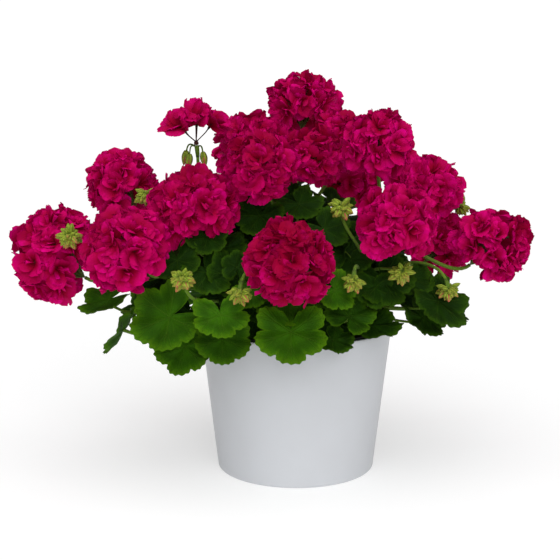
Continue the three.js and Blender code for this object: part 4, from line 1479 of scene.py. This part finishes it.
@dataclass
class Leaf:
    """A round lobed leaf blade on its stalk."""

    plan: LeafPlan
    dice: Dice
    # How light the leaf is painted, from its shoot: painted light and shade.
    painted_lightness: float
    lobe_depth: float
    lobe_spacing: float = 62.0
    cup: float = 0.13
    pleat: float = 0.085
    thickness: float = 0.7
    spokes: int = 120
    rings: int = 7
    stalk_radius: float = 1.25
    tooth: float = 0.026
    teeth_per_lobe: int = 5
    sink: float = 0.4
    shaded_from: float = 165.0
    shaded_to: float = 222.0
    lowest_node: float = 0.34
    highest_node: float = 0.95

    @property
    def centre(self) -> Array:
        """Where the blade meets its stalk."""
        return np.array([self.plan.x, self.plan.y, self.plan.z])

    def axes(self) -> tuple[Array, Array, Array]:
        """Works out how the blade lies.

        Returns:
            The way it looks, the way its tip points, and its side, as unit vectors.
        """
        az = math.radians(self.plan.azimuth)
        el = math.radians(self.plan.elevation)
        face = np.array([math.sin(az) * math.cos(el), -math.cos(az) * math.cos(el), math.sin(el)])
        down = np.array([math.sin(az) * math.sin(el), -math.cos(az) * math.sin(el), -math.cos(el)])
        tip = spin(face, self.plan.turn) @ down
        return face, tip, np.cross(face, tip)

    def edge(self, degrees: Array) -> Array:
        """Works out the blade's edge: its lobes, its teeth and the cut at its stalk.

        Args:
            degrees: The angles from its tip.

        Returns:
            The reach at each angle, as a share of its radius.
        """
        away = np.abs(degrees) / 180
        wave = np.abs(np.cos(np.radians(180 * degrees / self.lobe_spacing)))
        lobes = 1 - self.lobe_depth * (1 - wave**0.55)
        tooth_spacing = self.lobe_spacing / self.teeth_per_lobe
        teeth = self.tooth * np.cos(np.radians(360 * degrees / tooth_spacing))
        cut = smoothstep(1 - away, 0, 0.16)
        return (lobes + teeth) * (1 - 0.12 * away * away) * (0.12 + 0.88 * cut)

    def rise(self, degrees: Array, share: Array, reach: Array) -> Array:
        """Works out how far the blade stands off its plane: cupped, pleated, curled and folded.

        Args:
            degrees: The angles from its tip.
            share: The share of the way to the edge, one row a ring.
            reach: How far out each corner lies.

        Returns:
            The rise of each corner, as a share of its radius.
        """
        turn = np.radians(degrees)
        pleat = self.pleat * np.cos(np.radians(360 * degrees / self.lobe_spacing))
        phase = self.dice.roll(0, FULL_TURN)
        curl = 0.022 * np.sin(turn * 7 + phase) + 0.012 * np.sin(turn * 17 + phase)
        fold = self.dice.roll(-0.02, 0.05) * np.abs(np.sin(turn))
        return self.cup * reach**2 + pleat * reach + (curl + fold) * share**3

    def faces(self) -> Array:
        """Joins the blade's corners: rings above, rings below that share the edge, two middles.

        Returns:
            The four corners of each face, the last one twice where it has three.
        """
        n, rings = self.spokes, self.rings
        above = n * rings + n * (rings - 1)
        upper = np.arange(n * rings).reshape(rings, n)
        under = n * rings + np.arange(n * (rings - 1)).reshape(rings - 1, n)
        lower = np.vstack([under, upper[-1:]])
        faces = []
        for index, hub, flip in ((upper, above, False), (lower, above + 1, True)):
            nxt = np.roll(index, -1, axis=1)
            quads = [index[:-1], index[1:], nxt[1:], nxt[:-1]]
            fan = [np.full(n, hub), index[0], nxt[0]]
            if flip:
                quads, fan = quads[::-1], fan[::-1]
            faces.append(np.stack([q.ravel() for q in quads], 1))
            faces.append(np.stack([*fan, fan[-1]], 1))
        return np.vstack(faces)

    def blade(self, sketch: Sketch, finish: int) -> None:
        """Adds the blade.

        Args:
            sketch: The piece that it joins.
            finish: The index of the blade's finish.
        """
        face, tip, side = self.axes()
        degrees = -180 + 360 * np.arange(self.spokes) / self.spokes
        share = np.linspace(0, 1, self.rings + 1)[1:, None] ** 0.85
        reach = share * self.edge(degrees)
        x = reach * np.cos(np.radians(degrees))
        y = reach * np.sin(np.radians(degrees))
        z = self.rise(degrees, share, reach)
        flat = x[..., None] * tip + y[..., None] * side + z[..., None] * face
        low = self.sink * self.thickness * face
        middle = self.centre + self.plan.radius * flat - low
        half = 0.5 * self.thickness * face
        sheet = np.tile(half, (self.rings, 1, 1))
        sheet[-1] = 0
        top = middle + sheet
        under = (middle - sheet)[:-1]
        hub = self.centre - low
        corners = np.vstack([top.reshape(-1, 3), under.reshape(-1, 3), hub + half, hub - half])
        # Painted shade: leaves high up, under the flower heads, are painted darker, and the shoot's
        # painted lightness sets the rest of the tone.
        shaded = 0.8 * smoothstep(np.array(self.plan.z), self.shaded_from, self.shaded_to)
        tone = self.painted_lightness + self.dice.roll(-0.2, 0.2) - float(shaded)
        rows = np.stack([0.5 + 0.5 * x, 0.5 + 0.5 * y, np.full(x.shape, tone), 0 * x + share], -1)
        spots = np.tile([0.5, 0.5, tone, 0.0], (2, 1))
        paint = np.vstack([rows.reshape(-1, 4), rows[:-1].reshape(-1, 4), spots])
        sketch.add(corners, self.faces(), paint, finish)

    def petiole(self, sketch: Sketch, stem: Stem, finish: int) -> None:
        """Adds the leaf's stalk, from the underside of its blade down to its node on the stem.

        Args:
            sketch: The piece that it joins.
            stem: The stem that it grows from.
            finish: The index of the stalk's finish.
        """
        face, _, _ = self.axes()
        end = self.centre - 0.5 * self.thickness * face
        lowest, highest = stem.point(0)[2], stem.point(1)[2]
        share = (self.plan.z - 0.9 * self.plan.radius - lowest) / (highest - lowest)
        start = stem.point(min(max(share, self.lowest_node), self.highest_node))
        run = np.linalg.norm(end - start)
        out = unit(np.array([end[0] - start[0], end[1] - start[1], 0]))
        start = start + 1.02 * out
        line = Bend(start, start + 0.25 * run * (out + UP), end - 0.28 * run * face, end).points(12)
        radii = np.full(len(line), self.stalk_radius)
        radii[:2] *= (1.7, 1.25)
        radii[-2:] *= (1.1, 1.5)
        sketch.tube(line, radii, 7, self.dice.roll(0, 1), finish)


@dataclass
class Shoot:
    """A leafy shoot with its stem, leaves and flower stalks, and what the stalks carry."""

    plan: ShootPlan
    order: int
    foot_radius: float = 5.0
    top_radius: float = 3.4
    stalk_radius: float = 1.7
    stalk_foot: tuple[float, ...] = (1.5, 1.25, 1.1)
    stalk_pull: float = 0.35
    outward: float = 0.75
    upward: float = 0.6
    stem_steps: int = 32
    swell: float = 0.1
    swells: float = 6.5
    swell_width: float = 0.01
    plain_foot: float = 0.25
    inner_count: int = 11
    inner_from: float = 0.34
    inner_span: float = 0.66
    inner_sway: float = 20.0
    inner_reach: tuple[float, float] = (14, 34)
    inner_rise: tuple[float, float] = (-4, 14)
    inner_radii: tuple[float, float] = (17, 25)
    inner_elevations: tuple[float, float] = (15, 60)
    inner_turn: float = 30.0
    neck_length: float = 9.0
    BLADE = 0
    GREEN = 1

    def __post_init__(self) -> None:
        """Lays the stem and rolls the shoot's dice."""
        self.stem = Stem(self.plan)
        self.dice = Dice(500 + self.order)
        self.sketch = Sketch()

    def head_axis(self, centre: Array) -> Array:
        """Gives the way a head with this centre looks: away from its shoot and upwards."""
        out = unit(centre - self.stem.point(0.9))
        return unit(self.outward * out + self.upward * UP)

    def stalk_line(self, share: float, hub: Array, axis: Array) -> Array:
        """Gives the points of a flower stalk from the stem to its hub.

        Args:
            share: Where it starts, as a share of the stem.
            hub: Where it ends.
            axis: The way it points at its end.

        Returns:
            The points, one row each.
        """
        start = self.stem.point(share)
        pull = self.stalk_pull * np.linalg.norm(hub - start)
        guide = start + pull * self.stem.tangent(share)
        return Bend(start, guide, hub - pull * axis, hub).points(18)

    def stalk(self, line: Array, narrow: float = 1.0) -> None:
        """Adds a flower stalk, thicker where it leaves the stem.

        Args:
            line: The points that it runs through.
            narrow: Its width, as a share of the usual one.
        """
        radii = np.full(len(line), self.stalk_radius * narrow)
        radii[: len(self.stalk_foot)] *= self.stalk_foot
        self.sketch.tube(line, radii, 9, self.dice.roll(0, 1), self.GREEN)

    def build_stem(self) -> None:
        """Adds the stem, a little swollen at its leaf nodes."""
        share = np.linspace(0, 1, self.stem_steps + 1)
        line = np.array([self.stem.point(s) for s in share])
        radii = self.foot_radius + (self.top_radius - self.foot_radius) * share
        off_node = (share * self.swells) % 1 - 0.5
        swell = np.exp(-(off_node**2) / self.swell_width) * (share > self.plain_foot)
        radii *= 1 + self.swell * swell
        self.sketch.tube(line, radii, 14, 0.0, self.GREEN, round_end=True)

    def inner_leaves(self) -> list[LeafPlan]:
        """Spreads small leaves round the stem, deep between the large ones.

        Returns:
            Their plans.
        """
        plans = []
        for i in range(self.inner_count):
            share = self.inner_from + self.inner_span * (i + 0.5) / self.inner_count
            x, y, z = self.stem.point(share)
            sway = self.dice.roll(-self.inner_sway, self.inner_sway)
            azimuth = math.degrees(i * GOLDEN_ANGLE) + sway
            way = math.radians(azimuth)
            reach = self.dice.roll(*self.inner_reach)
            x += reach * math.sin(way)
            y -= reach * math.cos(way)
            z += self.dice.roll(*self.inner_rise)
            radius = self.dice.roll(*self.inner_radii)
            elevation = self.dice.roll(*self.inner_elevations)
            turn = self.dice.roll(-self.inner_turn, self.inner_turn)
            plans.append(LeafPlan(x, y, z, radius, azimuth, elevation, turn))
        return plans

    def build_leaves(self) -> None:
        """Adds the large leaves, and the small and the shaded ones between them."""
        leaves = []
        for k, plan in enumerate(self.plan.leaves):
            depth = LOBE_DEPTHS[(self.order + k) % len(LOBE_DEPTHS)]
            # The shoot's painted lightness, painted light and shade, goes to each large leaf.
            leaves.append(Leaf(plan, self.dice, self.plan.painted_lightness, depth))
        for plan in [*self.inner_leaves(), *SHADED_LEAVES.get(self.plan.name, ())]:
            # Painted shade: the small and the shaded leaves take a very dark tone.
            leaves.append(Leaf(plan, self.dice, SHADED_TONE, LOBE_DEPTHS[0], spokes=60, rings=4))
        for leaf in leaves:
            leaf.petiole(self.sketch, self.stem, self.GREEN)
            leaf.blade(self.sketch, self.BLADE)

    def build(self, finishes: Finishes) -> list[bpy.types.Object]:
        """Makes the shoot and everything on it.

        Args:
            finishes: The plant's materials.

        Returns:
            The pieces that replace the shoot's nodes.
        """
        self.build_stem()
        self.build_leaves()
        pieces = []
        for k, plan in enumerate(self.plan.heads):
            centre = np.array([plan.x, plan.y, plan.z], float)
            axis = self.head_axis(centre)
            head = FlowerHead(plan, axis, 100 * self.order + 10 * k + 3)
            drop = head.hub_ratio * plan.radius + CLEARANCE / plan.height
            end = centre - drop * axis * [1, 1, plan.height]
            self.stalk(self.stalk_line(0.98 - 0.05 * k, end, axis))
            pieces.append(head.build(finishes))
        for plan in self.plan.buds:
            hub = np.array([plan.x, plan.y, plan.z], float)
            line = self.stalk_line(plan.node, hub, bud_axis(plan.lean, plan.azimuth))
            lower, neck = split_line(line, self.neck_length)
            self.stalk(lower, 0.85)
            pieces.append(BudCluster(plan, neck).build(finishes))
        pieces.append(self.finish(finishes))
        return pieces

    def finish(self, finishes: Finishes) -> bpy.types.Object:
        """Makes the green piece of the shoot.

        Args:
            finishes: The plant's materials.

        Returns:
            The piece that replaces the shoot's node.
        """
        name = self.plan.name
        looks = [finishes.leaf, finishes.stem]
        return self.sketch.build(f"{name}_leaves", name, "leaf", looks, BLADE_EDGE)


@dataclass
class OpeningUmbel:
    """The umbel that is just opening: a few florets on bare stalks, and hanging buds.

    Each row of hanging gives a bud's belly and tip, counted from the stalk's end.
    """

    hub: tuple[float, float, float] = (-93, 8, 307.5)
    lean: tuple[float, float, float] = (-0.12, -0.1, 1)
    florets: int = 5
    reach: float = 21.5
    spread: float = 58.0
    turn: float = -60.0
    seed: int = 77
    node: float = 0.8
    hub_radius: float = 2.4
    nod: tuple[float, float, float] = (0, -0.35, 0.2)
    floret_scale: float = 1.36
    floret_stalk: float = 0.6
    stray: float = 0.04
    pink: float = 0.7
    hub_rings: tuple[tuple[float, float], ...] = ((-2.6, 1.9), (-1.4, 2.4), (0, 2.1), (1.6, 1.2))
    neck_radii: tuple[float, float, float] = (1.7, 2.3, 2.0)
    neck_tip: float = 1.9
    bud_length: float = 14.0
    bud_radius: float = 3.3
    ripeness: tuple[float, float] = (0.5, 0.9)
    LAYERS = (Layer.BACK, Layer.OUTER, Layer.MIDDLE)
    STALK = 1
    hanging: tuple[tuple[float, ...], ...] = (
        (-7, -3, -10, -8, -3, -20),
        (-11, 3, -8, -13, 4, -17),
        (6.5, -4, -9, 8, -5, -18),
    )

    @property
    def axis(self) -> Array:
        """The umbel's axis."""
        return unit(np.array(self.lean, float))

    @property
    def stalk_end(self) -> Array:
        """Where the green stalk ends and the buds hang, just below the hub."""
        return np.array(self.hub, float) - (2 * self.hub_radius + CLEARANCE) * self.axis

    def build_buds(self, neck_line: Array, finishes: Finishes) -> bpy.types.Object:
        """Makes the green end of the stalk with its hanging buds.

        Args:
            neck_line: The points of the stalk's last stretch.
            finishes: The plant's materials.

        Returns:
            The piece that replaces the buds' node.
        """
        dice = Dice(self.seed + 1)
        sketch = Sketch()
        line = np.vstack([neck_line, self.stalk_end + self.neck_tip * self.axis])
        low, high, tip = self.neck_radii
        radii = np.append(np.linspace(low, high, len(neck_line)), tip)
        sketch.tube(line, radii, 10, 0.6, self.STALK)
        for row in self.hanging:
            belly = self.stalk_end + np.array(row[:3])
            bud = Bud(self.bud_length, self.bud_radius, dice.roll(*self.ripeness))
            bud.hang(sketch, self.stalk_end, belly, self.stalk_end + np.array(row[3:]), dice)
        looks = [finishes.bud, finishes.stem]
        return sketch.build("buds_opening_sepals", "buds_opening", "bud", looks)

    def build(self, finishes: Finishes) -> bpy.types.Object:
        """Makes the umbel.

        Args:
            finishes: The plant's materials.

        Returns:
            The piece that replaces the umbel's node.
        """
        dice = Dice(self.seed)
        hub = np.array(self.hub, float)
        upright = turn_between(UP, self.axis)
        sketch = Sketch()
        heights, radii = np.array(self.hub_rings).T
        sketch.tube(hub + heights[:, None] * self.axis, radii, 10, 0.1, self.STALK)
        for site in directions(self.florets, self.spread, dice, self.stray):
            way = upright @ spin(UP, self.turn) @ site
            base = hub + self.reach * way
            facing = unit(way + self.nod)
            floret = Floret(self.floret_scale, dice, self.pink, self.floret_stalk)
            floret.petals(sketch, base, turn_between(UP, facing), self.LAYERS)
            floret.stalk(sketch, hub, base, facing)
        looks = [finishes.petal, finishes.bare_pedicel]
        return sketch.build("head_opening_florets", "head_opening", "petal", looks, BLADE_EDGE)


@dataclass
class Pots:
    """The white cover pot, the black nursery pot in it, and the soil."""

    height: float = 136.0
    top_radius: float = 90.0
    foot_radius: float = 74.0
    wall: float = 2.4
    floor: float = 4.0
    foot_round: float = 3.0
    lip_round: float = 0.8
    nursery_top: float = 137.5
    nursery_rim: float = 85.6
    nursery_rim_depth: float = 10.0
    nursery_shoulder: float = 82.4
    nursery_foot: float = 62.0
    nursery_wall: float = 1.4
    crumbs: int = 260

    def cover_profile(self) -> Array:
        """Works out the cover pot's profile, with a rounded foot and lip.

        Returns:
            Rows of radius and height, from the foot's middle round to the floor's.
        """
        slope = (self.top_radius - self.foot_radius) / self.height

        def outer(z: float) -> float:
            """Gives the outer radius at a height."""
            return self.foot_radius + slope * z

        rows = [(0.0, 0.0), (0.5 * self.foot_radius, 0.0), (outer(0) - self.foot_round - 1, 0.0)]
        for angle in np.linspace(-90, 0, 7):
            turn = math.radians(angle)
            r = outer(self.foot_round) - self.foot_round * (1 - math.cos(turn))
            rows.append((r, self.foot_round * (1 + math.sin(turn))))
        rows += [(outer(z), z) for z in np.linspace(8, self.height - 3, 12)]
        lip, mid = self.lip_round, outer(self.height)
        inner, edge = mid - self.wall, 0.3 * lip
        rows += [(mid, self.height - lip), (mid - edge, self.height - edge)]
        rows += [(mid - lip, self.height), (inner + lip, self.height)]
        rows += [(inner + edge, self.height - edge), (inner, self.height - lip)]
        rows += [(outer(self.floor) - self.wall, self.floor + 1)]
        rows += [(outer(self.floor) - self.wall - 1, self.floor), (0.0, self.floor)]
        return np.array(rows)

    def nursery_profile(self) -> Array:
        """Works out the nursery pot's profile, with its stepped rim.

        Returns:
            Rows of radius and height, from the foot's middle round to the floor's.
        """
        low = self.floor + CLEARANCE
        shoulder = self.nursery_top - self.nursery_rim_depth
        rim, wall = self.nursery_rim, self.nursery_wall
        rows = [(0.0, low), (self.nursery_foot - 1, low), (self.nursery_foot, low + 1)]
        rows += [(self.nursery_shoulder, shoulder), (rim - 0.6, shoulder + 0.6)]
        rows += [(rim - 0.1, self.nursery_top - 0.4), (rim - 0.4, self.nursery_top)]
        rows += [(rim - wall + 0.3, self.nursery_top), (rim - wall, self.nursery_top - 0.4)]
        rows += [(self.nursery_shoulder - wall, shoulder), (self.nursery_foot - wall, low + wall)]
        rows += [(0.0, low + wall)]
        return np.array(rows)

    def build_pots(self, finishes: Finishes) -> list[bpy.types.Object]:
        """Makes both pots.

        Args:
            finishes: The plant's materials.

        Returns:
            The two pieces.
        """
        pieces = []
        rows = (
            ("cover_pot", self.cover_profile(), finishes.pot, 160),
            ("nursery_pot", self.nursery_profile(), finishes.nursery, 120),
        )
        for node, profile, finish, sides in rows:
            sketch = Sketch()
            sketch.turned(profile, sides)
            pieces.append(sketch.build(f"{node}_shell", node, node, [finish], POT_EDGE))
        return pieces

    def build_soil(self, finishes: Finishes) -> bpy.types.Object:
        """Makes the soil: a lumpy fill with loose crumbs and bark on top.

        Args:
            finishes: The plant's materials.

        Returns:
            The piece that replaces the soil's node.
        """
        dice = Dice(31)
        low = self.floor + self.nursery_wall + 2 * CLEARANCE
        top = Stem.SOIL_TOP
        edge = self.nursery_shoulder - self.nursery_wall - 3.4
        rows = [(0.0, low), (self.nursery_foot - 3, low), (edge, top - 3)]
        rows += [(edge * s, top - 2.2 * s**3) for s in np.linspace(0.97, 0.08, 16)]
        rows += [(0.0, top)]
        sketch = Sketch()
        sketch.turned(np.array(rows), 72)
        corners = sketch.corners[0]
        lively = (corners[:, 2] > top - 6) & (np.hypot(corners[:, 0], corners[:, 1]) < edge - 1)
        x, y = corners[lively, 0], corners[lively, 1]
        lumps = 0.9 * np.sin(0.31 * x + 1.3 * np.sin(0.17 * y))
        lumps = lumps + 0.7 * np.sin(0.47 * y + np.sin(0.29 * x))
        corners[lively, 2] += 0.5 * lumps - 0.8
        for _ in range(self.crumbs):
            angle = dice.roll(0, FULL_TURN)
            r = (edge - 5) * math.sqrt(dice.roll(0, 1))
            z = top - 1.6 * (r / edge) ** 3 - 0.5
            self.crumb(sketch, np.array([r * math.cos(angle), r * math.sin(angle), z]), dice)
        return sketch.build("soil_crumbs", "soil", "soil", [finishes.soil])

    def crumb(self, sketch: Sketch, at: Array, dice: Dice) -> None:
        """Adds a crumb or chip of bark: a jagged lump of eight faces.

        Args:
            sketch: The piece that it joins.
            at: Its centre.
            dice: The dice that shapes it.
        """
        size = np.array([dice.roll(0.8, 3.2), dice.roll(0.7, 1.8), dice.roll(0.5, 1.2)])
        ends = np.vstack([np.eye(3), -np.eye(3)]) * size
        ends += np.array([dice.stray(0.3) for _ in range(6)])
        corners = at + ends @ spin(UP, dice.roll(0, 360)).T
        upper = [(0, 1, 2), (1, 3, 2), (3, 4, 2), (4, 0, 2)]
        lower = [(b, a, 5) for a, b, _ in upper]
        faces = np.array([(a, b, c, c) for a, b, c in upper + lower])
        sketch.add(corners, faces, np.zeros((len(corners), 4)))


@dataclass
class Studio:
    """The plain white floor, soft light and the camera of the photograph's view."""

    focal_px: float = 1130.0
    picture_px: float = 560.0
    eye: tuple[float, float, float] = (-15, -1050, 347)
    pitch: float = 9.1
    sensor: float = 36.0
    far: float = 50.0
    floor_reach: float = 6.0
    cast: tuple[Colour, float] = ((0.97, 0.985, 1.0), 0.13)
    seen: tuple[Colour, float] = ((1.0, 1.0, 1.0), 1.05)

    def build_floor(self) -> None:
        """Lays the floor."""
        mesh = bpy.data.meshes.new("floor")
        r = self.floor_reach
        corners = [(-r, -r, 0), (r, -r, 0), (r, r, 0), (-r, r, 0)]
        mesh.from_pydata(corners, [], [(0, 1, 2, 3)])
        mesh.materials.append(FloorFinish().make())
        floor = bpy.data.objects.new("floor", mesh)
        bpy.context.scene.collection.objects.link(floor)

    def sun(
        self, name: str, azimuth: float, elevation: float, strength: float, softness: float
    ) -> None:
        """Adds a broad soft light.

        Args:
            name: Its name.
            azimuth: Where it stands, 0 in front and 90 to the right.
            elevation: How high it stands.
            strength: Its strength.
            softness: The angle that it fills.
        """
        lamp = bpy.data.lights.new(name, "SUN")
        lamp.energy = strength
        lamp.angle = math.radians(softness)
        light = bpy.data.objects.new(name, lamp)
        light.rotation_euler = (math.radians(90 - elevation), 0, math.radians(azimuth))
        bpy.context.scene.collection.objects.link(light)

    def build_light(self) -> None:
        """Sets the lights and a white surround, dimmer as a light than it looks."""
        self.sun("key_light", -2, 57, 2.15, 76)
        self.sun("top_light", -30, 80, 0.6, 70)
        self.sun("front_light", 12, 14, 1.0, 40)
        world = bpy.data.worlds.new("surround")
        world.use_nodes = True
        tree = world.node_tree
        tree.nodes.clear()
        path = tree.nodes.new("ShaderNodeLightPath")
        mix = tree.nodes.new("ShaderNodeMixShader")
        out = tree.nodes.new("ShaderNodeOutputWorld")
        tree.links.new(path.outputs["Is Camera Ray"], mix.inputs[0])
        for socket, (colour, strength) in enumerate((self.cast, self.seen), start=1):
            light = tree.nodes.new("ShaderNodeBackground")
            light.inputs["Color"].default_value = (*colour, 1)
            light.inputs["Strength"].default_value = strength
            tree.links.new(light.outputs[0], mix.inputs[socket])
        tree.links.new(mix.outputs[0], out.inputs["Surface"])
        bpy.context.scene.world = world
        bpy.context.scene.view_settings.view_transform = "Standard"

    def build_camera(self) -> None:
        """Sets the camera."""
        data = bpy.data.cameras.new("camera")
        data.sensor_width = self.sensor
        data.lens = self.sensor * self.focal_px / self.picture_px
        data.clip_end = self.far
        camera = bpy.data.objects.new("camera", data)
        camera.location = tuple(c * MM for c in self.eye)
        camera.rotation_euler = (math.radians(90 - self.pitch), 0, 0)
        bpy.context.scene.collection.objects.link(camera)
        bpy.context.scene.camera = camera


def main() -> None:
    """Builds the plant, its pots and the studio, in order."""
    logging.basicConfig(level=logging.INFO, format="%(name)s: %(message)s")
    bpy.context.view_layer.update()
    studio = Studio()
    studio.build_camera()
    studio.build_floor()
    studio.build_light()
    finishes = Finishes()
    pots = Pots()
    pieces = pots.build_pots(finishes)
    pieces.append(pots.build_soil(finishes))
    for order, plan in enumerate(SHOOTS):
        shoot = Shoot(plan, order)
        if plan.name == "shoot_left":
            umbel = OpeningUmbel()
            line = shoot.stalk_line(umbel.node, umbel.stalk_end, umbel.axis)
            lower, neck = split_line(line, shoot.neck_length)
            shoot.stalk(lower, 0.9)
            pieces += [umbel.build_buds(neck, finishes), umbel.build(finishes)]
        pieces += shoot.build(finishes)
    for piece in pieces:
        triangles = len(piece.data.loops) - 2 * len(piece.data.polygons)
        log.info("%s has %d triangles", piece.name, triangles)
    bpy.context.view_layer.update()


if __name__ == "__main__":
    main()
